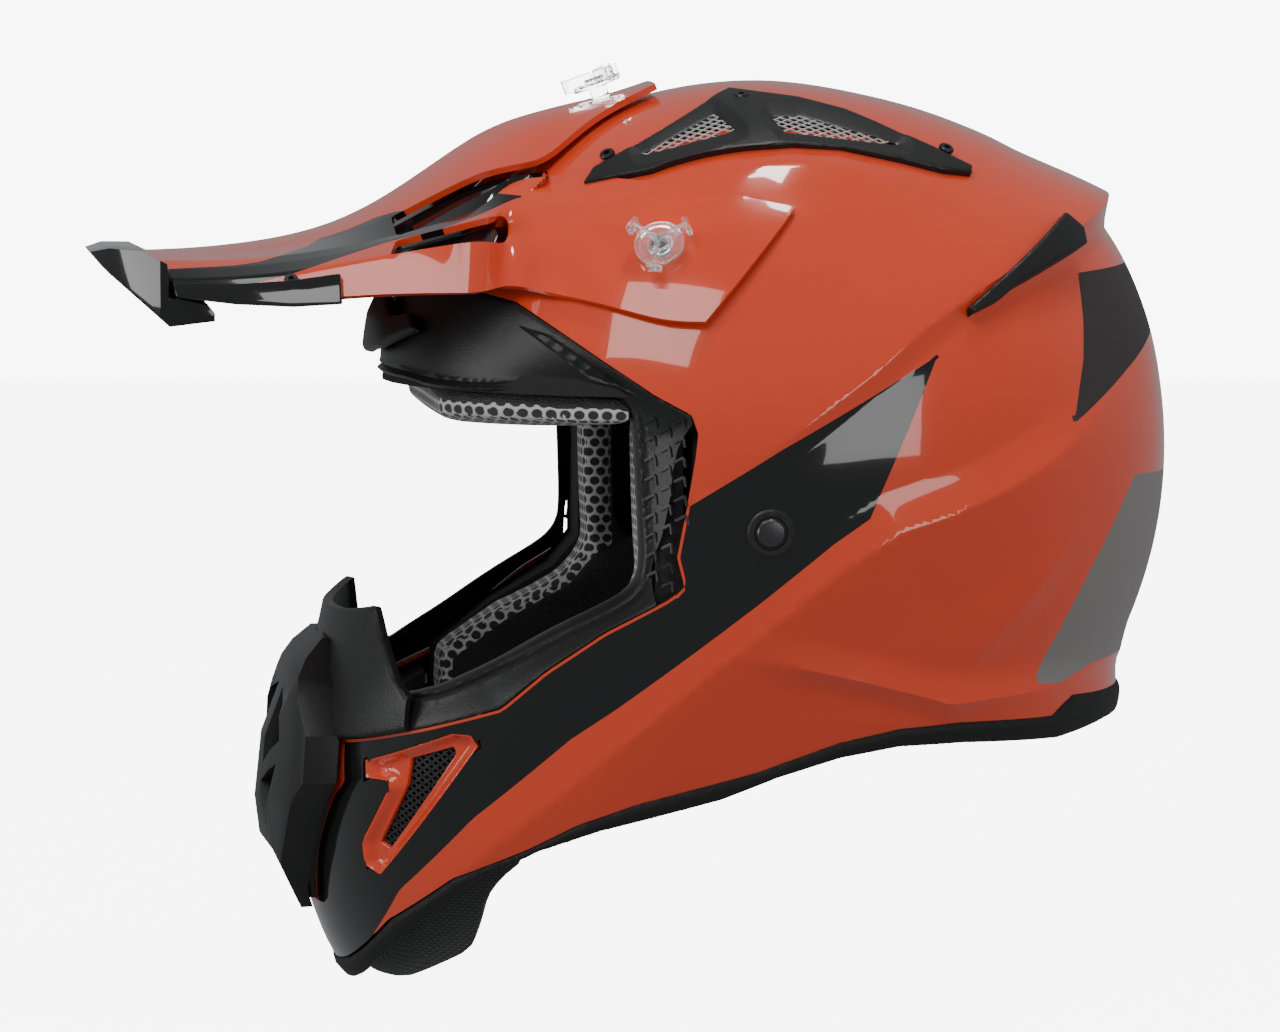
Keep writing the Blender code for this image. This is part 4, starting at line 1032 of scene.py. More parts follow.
# ---- Eyeport trim ----
TRIANGLE = [(-94, 31), (-84, 28), (-57, 9), (-72, 14)]
EYEPORT_SOFT = rounded(EYEPORT_INNER, 2)
FRAME_OUTER = outline_field(EYEPORT)
FRAME_INNER = outline_field(EYEPORT_SOFT)
TRIANGLE_FIELD = outline_field(TRIANGLE)
TRIM_ANGLES = np.linspace(133, 238, 190)
TRIM_TILTS = np.linspace(0.28, math.pi / 2, 110)
EYEPORT_WALL = 2.6
OUTER_LINES = (0.55, 1.3)       # lines of edges in from the trim's outer and inner edges
INNER_LINES = (0.4, 1.2, 2.0, 2.8, 3.4, 4.4)


def frame_height(co):
    """The trim leans into the opening and ends in a rounded double bead."""
    outer = np.maximum(FRAME_OUTER(co) - 0.3, 0)
    inner = np.maximum(-FRAME_INNER(co), 0)
    share = outer / np.maximum(outer + inner, 0.01)
    depth = 5 + 7 * smooth((co[:, 1] + 125) / 45)
    lean = -depth * np.clip(share, 0, 1) ** 1.2
    bead = 1.0 * np.exp(-((inner - 1.3) / 0.8) ** 2) - 0.6 * np.exp(-((inner - 2.8) / 0.5) ** 2)
    second = 0.45 * np.exp(-((inner - 3.9) / 0.6) ** 2)
    edge = -1.6 * (1 - np.sqrt(np.clip(1 - (1 - np.clip(inner / 1.2, 0, 1)) ** 2, 0, 1)))
    rim = -0.9 * (1 - np.sqrt(np.clip(1 - (1 - np.clip(outer / 0.9, 0, 1)) ** 2, 0, 1)))
    recess = -1.3 * np.clip(TRIANGLE_FIELD(co) / 0.9, 0, 1)
    ribs = 0.8 * np.clip(TRIANGLE_FIELD(co) / 1.6, 0, 1) * np.maximum(0, np.sin((co[:, 1] - co[:, 2]) * 0.9))
    return lean + bead + second + edge + rim + recess + ribs


def lean_direction(normal):
    """The way the trim leans: straight across on the sides, along the skin's normal at the front."""
    share = float(smooth((0.8 - normal[0]) / 0.5))
    direction = np.array([normal[0], normal[1] * share, normal[2] * share])
    return direction / np.linalg.norm(direction)


def make_eyeport():
    """The trim round the eyeport, which leans in, and the treads on its sides."""
    bm = skin_grid(TRIM_ANGLES, TRIM_TILTS, FRAME_PROUD)
    cut(bm, FRAME_OUTER, GAP)
    drop_faces(bm, FRAME_OUTER, GAP)
    cut(bm, FRAME_INNER)
    drop_faces(bm, FRAME_INNER, inside=True)
    for level in OUTER_LINES:
        cut(bm, FRAME_OUTER, level)
    for level in INNER_LINES:
        cut(bm, FRAME_INNER, -level)
    for level in (0, 0.9):
        cut(bm, TRIANGLE_FIELD, level)
    layer = bm.verts.layers.float_vector["skin"]
    for vert in bm.verts:
        vert[layer] = Vector(lean_direction(vert[layer]))
    push(bm, frame_height)
    thickened(bm, EYEPORT_WALL)
    mirrored(bm)
    trim = finished(bm, "Eyeport_trim", [SATIN])
    piece(trim, "helmet", "eyeport_trim", slot="satin_black")
    make_treads()


def trim_point(y, z):
    """The point of the trim's outer face seen at (y, z) before it leans in."""
    point, normal = side_point(y, z, FRAME_PROUD, 1)
    return point + lean_direction(normal) * frame_height(np.array([point]))[0]


TREAD_COLUMNS = [(-52.6, 0.0), (-48.4, 0.5), (-44.4, 0.0)]
TREAD_PITCH, TREAD_ROWS, TREAD_TOP = 6.2, 9, 0.5
TREAD_ROOM = (2.6, 0.6)         # least distance from the trim's inner and outer edges


def make_treads():
    """Rows of bent bars on the trim's side panels."""
    unit = bmesh.new()
    box_bm((4.6, 1.0, 0.9), (-0.4, 0.3, 0), unit, Matrix.Rotation(math.radians(24), 4, "Z"))
    box_bm((3.4, 0.9, 0.9), (1.9, -0.4, 0), unit, Matrix.Rotation(math.radians(-76), 4, "Z"))
    bmesh.ops.bevel(unit, geom=unit.edges[:], offset=0.22, segments=2, affect="EDGES")
    points, facing, along = [], [], []
    for side in (1, -1):
        for y, shift in TREAD_COLUMNS:
            for row in range(TREAD_ROWS):
                z = TREAD_TOP - TREAD_PITCH * (row + shift)
                inner = -FRAME_INNER(np.array([[0, y, z]]))[0]
                outer = FRAME_OUTER(np.array([[0, y, z]]))[0]
                if inner < TREAD_ROOM[0] or outer < TREAD_ROOM[1]:
                    continue
                point = trim_point(y, z)
                ahead = trim_point(y + 1.5, z)
                above = trim_point(y, z + 1.5)
                direction = (ahead - point) / np.linalg.norm(ahead - point)
                outward = np.cross(direction, above - point)
                outward /= np.linalg.norm(outward)
                flip = np.array([side, 1, 1])
                points.append((point + outward * 0.15) * flip)
                facing.append(outward * flip)
                along.append(direction * flip)
    treads = repeated("Eyeport_treads", unit, points, facing, along, SATIN_TREAD, jitter=0.02, seed=4)
    piece(treads, "helmet", slot="satin_black")


# ---- Plates on the shell ----
def front_plate(name, outline, proud, wall, paints, extra, angles, soft=1.0):
    """A plate inside an outline seen from the front."""
    field = front_field(outline)
    bm = skin_grid(np.linspace(*angles, 90), np.linspace(0.9, math.pi / 2, 70), proud)
    cut(bm, field)
    drop_faces(bm, field)
    for level in (soft * EDGE_START, soft):
        cut(bm, field, level)
    push(bm, edge_round(field, soft))
    push(bm, extra)
    thickened(bm, wall)
    mirrored(bm)
    return finished(bm, name, paints)


DISH_DEPTH, DISH_WIDTH = 1.5, 4.5


def vent_recess(co):
    """The bevelled dishes round both windows of a top vent."""
    distances = [-outline_field(outline)(co) for outline in (TOP_WINDOW_FRONT, TOP_WINDOW_REAR)]
    return -DISH_DEPTH * sum(np.clip(1 - distance / DISH_WIDTH, 0, 1) for distance in distances)


def grown_outline(outline, amount):
    """The outline with its points moved away from its middle."""
    points = np.array(outline, float)
    middle = points.mean(0)
    away = points - middle
    length = np.linalg.norm(away, axis=1, keepdims=True)
    return [tuple(p) for p in points + away / length * amount]


def make_top_vents():
    """Frames and meshes of the vents over the crown."""
    for name, side in (("left", 1), ("right", -1)):
        for title, outline in (("front", TOP_WINDOW_FRONT), ("rear", TOP_WINDOW_REAR)):
            net = wire_mesh(f"Top_mesh_{title}_{name}", outline, side, 0.7, SILVER_WIRE,
                            pitch=(4.4, 3.0), width=0.42, beyond=1.8)
            piece(net, "helmet", f"top_vent_mesh_{title}_{name}", slot="wire_mesh")
    frame_piece = skin_plate("Top_vent_frames", TOP_VENT, VENT_PROUD, VENT_WALL, [SATIN],
                             holes=(TOP_WINDOW_FRONT, TOP_WINDOW_REAR), soft=0.6, extra=vent_recess,
                             pitch=0.9)
    piece(frame_piece, "helmet", "top_vent_frame_left", "top_vent_frame_right", slot="satin_black")


SCREW_STEPS = 24                # corners of a screw head's circle, a multiple of its socket's 6


def screw_unit(radius, height):
    """A flat screw head with a hexagonal socket."""
    bm = bmesh.new()
    turns = [2 * math.pi * k / SCREW_STEPS for k in range(SCREW_STEPS)]
    rings = []
    for share, z in ((1, -height), (1, height * 0.4), (0.86, height), (0.52, height)):
        rings.append([bm.verts.new((radius * share * math.cos(turn), radius * share * math.sin(turn), z))
                      for turn in turns])
    for share, z in ((0.46, height), (0.42, -height * 0.6)):
        sides = [radius * share * math.cos(math.pi / 6) / math.cos((turn % (math.pi / 3)) - math.pi / 6)
                 for turn in turns]
        rings.append([bm.verts.new((side * math.cos(turn), side * math.sin(turn), z))
                      for side, turn in zip(sides, turns)])
    for low, high in zip(rings, rings[1:]):
        for k in range(SCREW_STEPS):
            m = (k + 1) % SCREW_STEPS
            bm.faces.new([low[k], low[m], high[m], high[k]])
    bm.faces.new(rings[-1])
    bm.faces.new(rings[0][::-1])
    return bm


def make_vent_screws():
    """Screws at the ends and the middle of both top vents."""
    points, facing, along = [], [], []
    for side in (1, -1):
        for y, z in VENT_SCREWS.values():
            point, normal = side_point(y, z, VENT_PROUD - 0.2, side)
            points.append(point)
            facing.append(normal)
            along.append((0.2 * side, 1.0, 0.1))
    names = [f"vent_screw_{title}_{name}" for title in VENT_SCREWS for name in ("left", "right")]
    screws = repeated("Vent_screws", screw_unit(SCREW_HEAD, 0.7), points, facing, along, BLACK_STEEL)
    piece(screws, "helmet", *names, slot="black_screw")


def rear_vent_step(co):
    """A hooded step along the rear vent cover."""
    along = (co[:, 1] - 54) / 40
    return 4.5 * smooth(along) * smooth((co[:, 2] - 36 - along * 10) / 7)


GUARD_SPAN = (np.linspace(196, 228, 80), np.linspace(0.9, math.pi / 2, 80))
BOTTOM_SPAN = (np.linspace(228, 352, 300), np.linspace(0.42, math.pi / 2, 110))
BROW = [(0, 18), (22, 21), (46, 28), (38, 33), (24, 31), (9, 38), (0, 39)]      # seen from the front, (x, z)
BROW_PROUD, BROW_WALL = 3.4, 2.4


def beak(co):
    """The brow vent rises towards its middle and its top."""
    middle = np.clip(1 - np.abs(co[:, 0]) / 30, 0, 1)
    return 3.0 * middle * np.clip((co[:, 2] - 18) / 12, 0, 1)


def make_plates():
    """Vents, nose guard, brow vent and bottom trim."""
    make_top_vents()
    make_vent_screws()
    rear = skin_plate("Rear_vent_covers", REAR_VENT, VENT_PROUD + 2.5, VENT_WALL + 2.5, [SATIN], soft=0.9,
                      extra=rear_vent_step, pitch=1.0, creased=False)
    piece(rear, "helmet", "rear_vent_cover_left", "rear_vent_cover_right", slot="satin_black")
    for name, side in (("left", 1), ("right", -1)):
        net = wire_mesh(f"Chin_mesh_{name}", grown_outline(CHIN_HOLE, 3), side, -4.6, BLACK_WIRE,
                        pitch=(3.6, 2.6), width=0.75)
        piece(net, "helmet", f"chin_vent_mesh_{name}", slot="wire_mesh")
    guard = skin_plate("Nose_guard", NOSE_GUARD, GUARD_PROUD, GUARD_WALL, [SATIN], span=GUARD_SPAN)
    piece(guard, "helmet", "nose_guard", slot="satin_black")
    brow = front_plate("Brow_vent", BROW, BROW_PROUD, BROW_WALL, [SATIN], beak, (140, 200))
    piece(brow, "helmet", "brow_vent", slot="satin_black")
    trim_outline = [(y, z - GAP) for y, z in RIM] + TRIM_EDGE[::-1]
    trim = skin_plate("Bottom_trim", trim_outline, TRIM_PROUD, TRIM_WALL, [RUBBER], soft=2.2,
                      span=BOTTOM_SPAN)
    piece(trim, "helmet", "bottom_trim", slot="trim_rubber")


# ---- Peak ----
STRIPE = [(-240, 46), (-196, 48.5), (-183, 49.3), (-175, 50.5), (-158, 55), (-148, 59.5), (-129, 66),
          (-98, 73), (-88, 72), (-118, 61), (-132, 57.5), (-147, 53), (-169, 46), (-181, 43), (-240, 36)]


def cad_grid():
    """The peak's control net for x >= 0: its front, then the tongue and the side ears."""
    rows = [list(row) for row in PEAK_FRONT]
    for tongue, top, bottom in zip(TONGUE_REAR, EAR_TOP, EAR_BOTTOM):
        row = []
        for share in (0, 1 / 3, 2 / 3, 1):
            y = top[0] + (bottom[0] - top[0]) * share
            z = top[1] + (bottom[1] - top[1]) * share
            row.append(tuple(side_point(y, z, EAR_PROUD)[0]))
        rows.append(tongue + row)
    return rows


STRIPE_FROM = 26                # the stripes start this far from the middle
TOP_KNOB_Y = -53
EAR_HOLE = 4.4
COLUMN_CREASES = {5: 0.9, 3: 0.55, 4: 0.5, 2: 0.6}  # how sharp the net's columns stay
BORDER_CREASE = 0.75
BOW_FROM, BOW_OVER = -87, 12    # behind this the ears bow with the shell
PEAK_SHARP = math.radians(20)


def peak_net():
    """The peak's coarse net with its windows left out, as a mesh."""
    bm = bmesh.new()
    crease = bm.edges.layers.float.new("crease_edge")
    rows = cad_grid()
    grid = [[bm.verts.new(point) for point in row] for row in rows]
    for i in range(len(grid) - 1):
        for j in range(len(grid[0]) - 1):
            beside_tongue = j == 2 and i >= 4
            in_window = j == 4 and 4 <= i < 7
            if not (beside_tongue or in_window):
                bm.faces.new((grid[i][j], grid[i][j + 1], grid[i + 1][j + 1], grid[i + 1][j]))
    for edge in bm.edges:
        one, two = edge.verts
        for j, weight in COLUMN_CREASES.items():
            column = [row[j] for row in grid[:8]]
            if one in column and two in column:
                edge[crease] = weight
        if edge.is_boundary:
            edge[crease] = BORDER_CREASE
    bmesh.ops.remove_doubles(bm, verts=bm.verts, dist=0.001)
    mesh = bpy.data.meshes.new("peak_net")
    bm.to_mesh(mesh)
    bm.free()
    return mesh


def with_normals(mesh):
    """A mesh as a bmesh that faces up and keeps its own normals as the skin's."""
    bm = bmesh.new()
    bm.from_mesh(mesh)
    bmesh.ops.recalc_face_normals(bm, faces=bm.faces)
    if sum(f.normal.z for f in bm.faces) < 0:
        bmesh.ops.reverse_faces(bm, faces=bm.faces)
    bm.normal_update()
    layer = bm.verts.layers.float_vector.new("skin")
    for vert in bm.verts:
        vert[layer] = vert.normal
    return bm


def fine_peak():
    """The softened and mirrored net, with ears that bow with the shell, as a mesh."""
    net = linked("peak_net", peak_net())
    mirror = net.modifiers.new("mirror", "MIRROR")
    mirror.merge_threshold = 0.01
    mirror.use_clip = True
    subdivision = net.modifiers.new("soften", "SUBSURF")
    subdivision.levels = subdivision.render_levels = 4
    fine = applied(net).data
    bpy.data.objects.remove(net, do_unlink=True)
    for vert in fine.vertices:
        x, y, z = vert.co
        if y > BOW_FROM and abs(x) > 55 and z < 80:
            reach = side_point(y, z, EAR_PROUD)[0][0]
            blend = float(smooth((y - BOW_FROM) / BOW_OVER))
            vert.co.x = math.copysign(abs(x) + (reach - abs(x)) * blend, x)
    return fine


def make_peak():
    """The peak with its stripes, its screw holes and the slot in its tongue."""
    bm = with_normals(fine_peak())
    stripe = outline_field(STRIPE)

    def side_stripe(co):
        return np.minimum(stripe(co), np.abs(co[:, 0]) - STRIPE_FROM)
    cut(bm, side_stripe)
    paint(bm, side_stripe, 1)
    for side in (1, -1):
        point = side_point(*PEAK_PIVOT, EAR_PROUD, side)[0]
        hole = (lambda co, p=point: EAR_HOLE - np.linalg.norm(co - p, axis=1))
        cut(bm, hole)
        drop_faces(bm, hole, inside=True)
    crown, facing = crown_point(TOP_KNOB_Y)
    across = np.array([1.0, 0.0, 0.0])
    along = np.cross(np.array(facing), across)

    def slot(co):
        offset = co - np.array(crown)
        oval = np.hypot(offset @ across, offset @ along / TONGUE_SLOT_STRETCH)
        return TONGUE_SLOT - oval
    cut(bm, slot)
    drop_faces(bm, slot, inside=True)
    thickened(bm, PEAK_WALL)
    peak = finished(bm, "Peak", [ORANGE, GLOSS_BLACK], sharp=PEAK_SHARP)
    bevel = peak.modifiers.new("edge", "BEVEL")
    bevel.width, bevel.segments, bevel.limit_method = 0.0005, 2, "ANGLE"
    bevel.angle_limit = math.radians(60)
    applied(peak)
    piece(peak, "peak_body", "peak", slot="orange_paint")


def applied(obj):
    """The object with its modifiers made into its mesh."""
    bpy.context.view_layer.update()
    mesh = bpy.data.meshes.new_from_object(obj.evaluated_get(bpy.context.evaluated_depsgraph_get()))
    obj.modifiers.clear()
    obj.data = mesh
    return obj


def node_mesh(node):
    """A copy of a CAD node's mesh, in the frame's own coordinates."""
    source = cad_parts[node]
    mesh = source.data.copy()
    mesh.transform(source.matrix_world)
    return mesh


def cad_copy(node, name, paint_used, bevel, segments=2, subdivide=0):
    """A finer copy of a CAD node, with soft edges, as an object at the origin."""
    mesh = node_mesh(node)
    mesh.name = name
    mesh.materials.clear()
    mesh.materials.append(paint_used)
    bm = bmesh.new()
    bm.from_mesh(mesh)
    bmesh.ops.remove_doubles(bm, verts=bm.verts, dist=0.00002)
    bmesh.ops.dissolve_limit(bm, angle_limit=math.radians(1.5), verts=bm.verts, edges=bm.edges)
    bm.to_mesh(mesh)
    bm.free()
    obj = linked(name, mesh)
    if bevel:
        step = obj.modifiers.new("edge", "BEVEL")
        step.width, step.segments = bevel * MM, segments
        step.limit_method, step.angle_limit = "ANGLE", math.radians(28)
    if subdivide:
        step = obj.modifiers.new("fine", "SUBSURF")
        step.levels = step.render_levels = subdivide
    applied(obj)
    fresh_uv(obj.data)
    obj.data.shade_smooth()
    obj.data.set_sharp_from_angle(angle=SHARP_ANGLE)
    return obj


def fresh_uv(mesh):
    """The mesh with only UVs of its own."""
    for layer in list(mesh.uv_layers):
        mesh.uv_layers.remove(layer)
    box_uv(mesh)


PEAK_SCREW_AT, PEAK_SCREW_FACING = (66.6, -166, 45.2), (0.83, 0, 0.55)
# Black sheets under these open cells of the peak's net are painted shade, seen through its windows and
# beside its tongue.
SHADE_SHEET_CELLS = [(4, 2), (5, 2), (6, 2), (7, 2), (4, 4), (5, 4), (6, 4)]     # the net's open cells
SHADE_SHEET_DROP = np.array([2.5, 0, 4.5])
SHADE_SHEET_GROWTH, SHADE_SHEET_WALL = 0.12, 1.4


def make_peak_inserts():
    """The tip plate and the side plates, with their screws."""
    tip = cad_copy("peak_tip_insert", "Peak_tip", GLOSS_BLACK, bevel=0.9, segments=3)
    piece(tip, "peak_body", "peak_tip_insert", slot="satin_black")
    for name in ("left", "right"):
        insert = cad_copy(f"peak_side_insert_{name}", f"Peak_insert_{name}", GLOSS_BLACK, bevel=0.5)
        piece(insert, "peak_body", f"peak_side_insert_{name}", slot="satin_black")
    points = [(side * PEAK_SCREW_AT[0], *PEAK_SCREW_AT[1:]) for side in (1, -1)]
    facing = [(side * PEAK_SCREW_FACING[0], *PEAK_SCREW_FACING[1:]) for side in (1, -1)]
    screws = repeated("Peak_screws", screw_unit(PEAK_SCREW, 0.6), points, facing, [(0, 1, 0)] * 2,
                      BLACK_STEEL)
    piece(screws, "peak_body", "peak_screw_left", "peak_screw_right", slot="black_screw")


def make_peak_shade_sheets():
    """Gloss black sheets under the peak's windows and beside its tongue, standing in as painted shade."""
    shade_sheet = bmesh.new()
    rows = cad_grid()
    for side in (1, -1):
        for i, j in SHADE_SHEET_CELLS:
            quad = np.array([rows[i][j], rows[i][j + 1], rows[i + 1][j + 1], rows[i + 1][j]])
            corners = quad + (quad - quad.mean(axis=0)) * SHADE_SHEET_GROWTH - SHADE_SHEET_DROP
            verts = [shade_sheet.verts.new((c[0] * side, c[1], c[2])) for c in corners]
            shade_sheet.faces.new(verts if side > 0 else verts[::-1])
    bmesh.ops.remove_doubles(shade_sheet, verts=shade_sheet.verts, dist=3.0)
    coarse = finished(shade_sheet, "scoop_net", [GLOSS_BLACK])
    soften = coarse.modifiers.new("soften", "SUBSURF")
    soften.levels = soften.render_levels = 3
    soften.boundary_smooth = "PRESERVE_CORNERS"
    fine = applied(coarse).data
    bpy.data.objects.remove(coarse, do_unlink=True)
    fine.transform(Matrix.Diagonal((1 / MM, 1 / MM, 1 / MM, 1)))
    shade_sheet = finished(thickened(with_normals(fine), SHADE_SHEET_WALL), "Peak_scoops", [GLOSS_BLACK])
    piece(shade_sheet, "peak_body", slot="satin_black")


# ---- Thumb screws, rivets ----
def lathe(rings, steps, matrix):
    """A turned form from (radius, z) rings, where a radius of 0 closes an end."""
    bm = bmesh.new()
    rows = []
    for radius, z in rings:
        if radius < 1e-6:
            rows.append([bm.verts.new(matrix @ Vector((0, 0, z)))])
        else:
            rows.append([bm.verts.new(matrix @ Vector((radius * math.cos(2 * math.pi * k / steps),
                                                       radius * math.sin(2 * math.pi * k / steps), z)))
                         for k in range(steps)])
    for low, high in zip(rows, rows[1:]):
        for k in range(steps):
            m = (k + 1) % steps
            if len(low) == 1:
                bm.faces.new((low[0], high[m], high[k]))
            elif len(high) == 1:
                bm.faces.new((low[k], low[m], high[0]))
            else:
                bm.faces.new((low[k], low[m], high[m], high[k]))
    return bm


def facing_matrix(point, normal):
    """A frame at point whose Z is the normal and whose Y is nearest to straight up."""
    z = Vector(normal).normalized()
    x = Vector((0, 0, 1)).cross(z).normalized()
    y = z.cross(x)
    turn = Matrix((x, y, z)).transposed().to_4x4()
    return Matrix.Translation(Vector(point)) @ turn


def crown_point(y):
    """The point on the crown's middle line at y, and its normal."""
    angles = np.linspace(40, 175, 2000)
    line = surface(angles, np.full_like(angles, math.pi / 2))
    at = np.abs(line[:, 1] - y).argmin()
    return line[at], surface_normal(angles[at:at + 1], np.array([math.pi / 2]))[0]


# Turned profiles, (radius, height); a thumb screw's heights are over the underside of its disc
KNOB_SHANK = 4
KNOB_PROFILE = [(3.0, -KNOB_SHANK), (3.0, 0), (8.0, 0), (8.3, 0.4), (8.3, 1.4), (8.0, 1.8), (6.6, 1.8),
                (6.2, 1.1), (4.6, 1.1), (4.2, 1.8), (3.6, 3.4), (0, 3.6)]
BOLT_PROFILE = [(0, -5), (2.2, -5), (2.2, 1.5), (1.8, 1.9), (0, 1.9)]
INSERT_PROFILE = [(0, -6), (INSERT_RADIUS, -6), (INSERT_RADIUS, 0), (INSERT_RADIUS - 0.6, 0.6), (3.4, 0.6),
                  (3.2, -2), (0, -2)]
WASHER_PROFILE = [(0, 0), (7.9, 0), (7.9, 1.1), (7.2, 1.7), (5.6, 1.7), (5.2, 1.2), (0, 1.2)]
CAP_PROFILE = [(0, 0.5), (4.7, 0.5), (4.7, 1.9), (4.2, 2.4), (2.5, 2.65), (0, 2.7)]
KNOB_LIFT = {"left": 0.6, "right": 0.6, "top": 2.8}     # from the peak's outer face to the disc
WING_SIZE, WING_REACH, WING_HEIGHT = (1.5, 10.2, 5.0), 5.6, 3.2
WING_TIP_SIZE, WING_TIP_REACH, WING_TIP_HEIGHT = (4.6, 1.5, 4.6), 10.4, 3.4
WASHER_RIBS, RIB_SIZE, RIB_REACH, RIB_HEIGHT = 6, (3.4, 0.9, 0.5), 6.7, 1.75


def joined_in(bm, part, matrix):
    """Moves a part by the matrix and adds it to bm, which uses it up."""
    bmesh.ops.transform(part, matrix=matrix, verts=part.verts)
    mesh = bpy.data.meshes.new("part")
    part.to_mesh(mesh)
    bm.from_mesh(mesh)
    part.free()


def make_knobs():
    """Three clear thumb screws with their bolts, over the threaded inserts in the shell."""
    places = {"left": side_point(*PEAK_PIVOT, 0, 1), "right": side_point(*PEAK_PIVOT, 0, -1),
              "top": crown_point(TOP_KNOB_Y)}
    for name, (point, normal) in places.items():
        where = facing_matrix(point, normal)
        lifted = where @ Matrix.Translation((0, 0, EAR_PROUD + KNOB_LIFT[name]))
        bm = lathe(KNOB_PROFILE, 64, lifted)
        down = lifted.inverted()
        bottom = [v for v in bm.verts if abs((down @ v.co).z + KNOB_SHANK) < 1e-4]
        bmesh.ops.contextual_create(bm, geom=bottom)
        for k in range(KNOB_WINGS):
            blade = box_bm(WING_SIZE, (0, WING_REACH, WING_HEIGHT))
            bmesh.ops.bevel(blade, geom=blade.edges[:], offset=0.55, segments=3, affect="EDGES")
            box_bm(WING_TIP_SIZE, (0, WING_TIP_REACH, WING_TIP_HEIGHT), blade)
            joined_in(bm, blade, lifted @ Matrix.Rotation(2 * math.pi * k / KNOB_WINGS + math.pi, 4, "Z"))
        knob = finished(bm, f"Knob_{name}", [CLEAR])
        piece(knob, f"knob_{name}", f"peak_knob_{name}", slot="clear_plastic")
        bolt = finished(lathe(BOLT_PROFILE, 32, where), f"Knob_bolt_{name}", [BLACK_STEEL])
        piece(bolt, f"knob_{name}", slot="black_screw")
        insert = finished(lathe(INSERT_PROFILE, 40, where), f"Threaded_insert_{name}", [SATIN])
        piece(insert, "helmet", f"threaded_insert_{name}", slot="satin_black")


def make_rivets():
    """A ribbed washer and a metal cap on each side."""
    for name, side in (("left", 1), ("right", -1)):
        point, normal = side_point(RIVET_Y, RIVET_Z, 0, side)
        where = facing_matrix(point, normal)
        bm = lathe(WASHER_PROFILE, 72, where)
        for k in range(WASHER_RIBS):
            rib = box_bm(RIB_SIZE, (0, RIB_REACH, RIB_HEIGHT))
            bmesh.ops.bevel(rib, geom=rib.edges[:], offset=0.15, segments=2, affect="EDGES")
            joined_in(bm, rib, where @ Matrix.Rotation(2 * math.pi * (k + 0.5) / WASHER_RIBS, 4, "Z"))
        washer = finished(bm, f"Rivet_washer_{name}", [SATIN_TREAD])
        piece(washer, "helmet", f"rivet_washer_{name}", slot="satin_black")
        cap = finished(lathe(CAP_PROFILE, 64, where), f"Rivet_cap_{name}", [RIVET_STEEL])
        piece(cap, "helmet", f"rivet_cap_{name}", slot="rivet_metal")


# ---- Mouth vent ----
MOUTH_MESH = [(-34, -99), (34, -99), (25, -152), (-25, -152)]       # seen from the front, (x, z)
MOUTH_MESH_MIDDLE = np.array([0.0, -160.0, -125.0])
MOUTH_MESH_IN = -4.0
MOUTH_MESH_PITCH = (3.6, 2.6)


def make_mouth():
    """The mouth vent's cover, its base and the mesh behind them."""
    cover = cad_copy("mouth_vent_cover", "Mouth_cover", SATIN, bevel=0.9, segments=3)
    piece(cover, "helmet", "mouth_vent_cover", slot="satin_black")
    base = cad_copy("mouth_vent_base", "Mouth_base", SATIN, bevel=0.4)
    piece(base, "helmet", "mouth_vent_base", slot="satin_black")
    flat = lattice(MOUTH_MESH_MIDDLE, np.array([0.0, -1.0, 0.0]), np.array([1.0, 0.0, 0.0]), 24, 20,
                   *MOUTH_MESH_PITCH[::-1])
    flat = flat[outline_field(MOUTH_MESH, (0, 2))(flat) > 0]
    points, normals = onto_skin(flat, MOUTH_MESH_IN)
    net = repeated("Mouth_mesh", diamond_unit(*MOUTH_MESH_PITCH, 0.7, 0.5), points, normals,
                   np.repeat([[1.0, 0.0, 0.0]], len(points), 0), BLACK_WIRE)
    piece(net, "helmet", "mouth_vent_mesh", slot="wire_mesh")


# ---- Linings ----
PAD_VOXEL, CHEEK_VOXEL, BROW_VOXEL = 0.005, 0.004, 0.0032
PAD_PRESSURE, BROW_PRESSURE = 3.2, 2.0
MOST_SWELL = 0.0022             # metres a pad's cover may move out, so that it clears its neighbours
SWELL_FRAMES = 20


def cushion(node, name, paint_used, strip, pressure=PAD_PRESSURE, voxel=PAD_VOXEL, planes=()):
    """A pad in the form of its CAD node, swollen by a short cloth run."""
    mesh = node_mesh(node)
    for point, normal in planes:
        trim_mesh(mesh, point, normal)
    obj = linked(name, mesh)
    remesh = obj.modifiers.new("voxels", "REMESH")
    remesh.mode, remesh.voxel_size = "VOXEL", voxel
    relax = obj.modifiers.new("relax", "SMOOTH")
    relax.factor, relax.iterations = 0.5, 3
    applied(obj)
    before = np.array([v.co for v in obj.data.vertices])
    swell(obj, pressure)
    after = np.array([v.co for v in obj.data.vertices])
    if after.shape == before.shape:
        move = after - before
        length = np.linalg.norm(move, axis=1, keepdims=True)
        move = move * np.minimum(1, MOST_SWELL / np.maximum(length, 1e-9))
        for vert, place in zip(obj.data.vertices, before + move):
            vert.co = place
    subdivision = obj.modifiers.new("fine", "SUBSURF")
    subdivision.levels = subdivision.render_levels = 1
    applied(obj)
    obj.data.materials.clear()
    obj.data.materials.append(paint_used)
    values = strip(np.array([v.co for v in obj.data.vertices]) / MM,
                   np.array([v.normal for v in obj.data.vertices]))
    attribute = obj.data.attributes.new("strip", "FLOAT", "POINT")
    attribute.data.foreach_set("value", np.asarray(values, dtype=np.float32))
    obj.data.shade_smooth()
    fresh_uv(obj.data)
    piece(obj, "helmet", node, slot="lining_fabric")


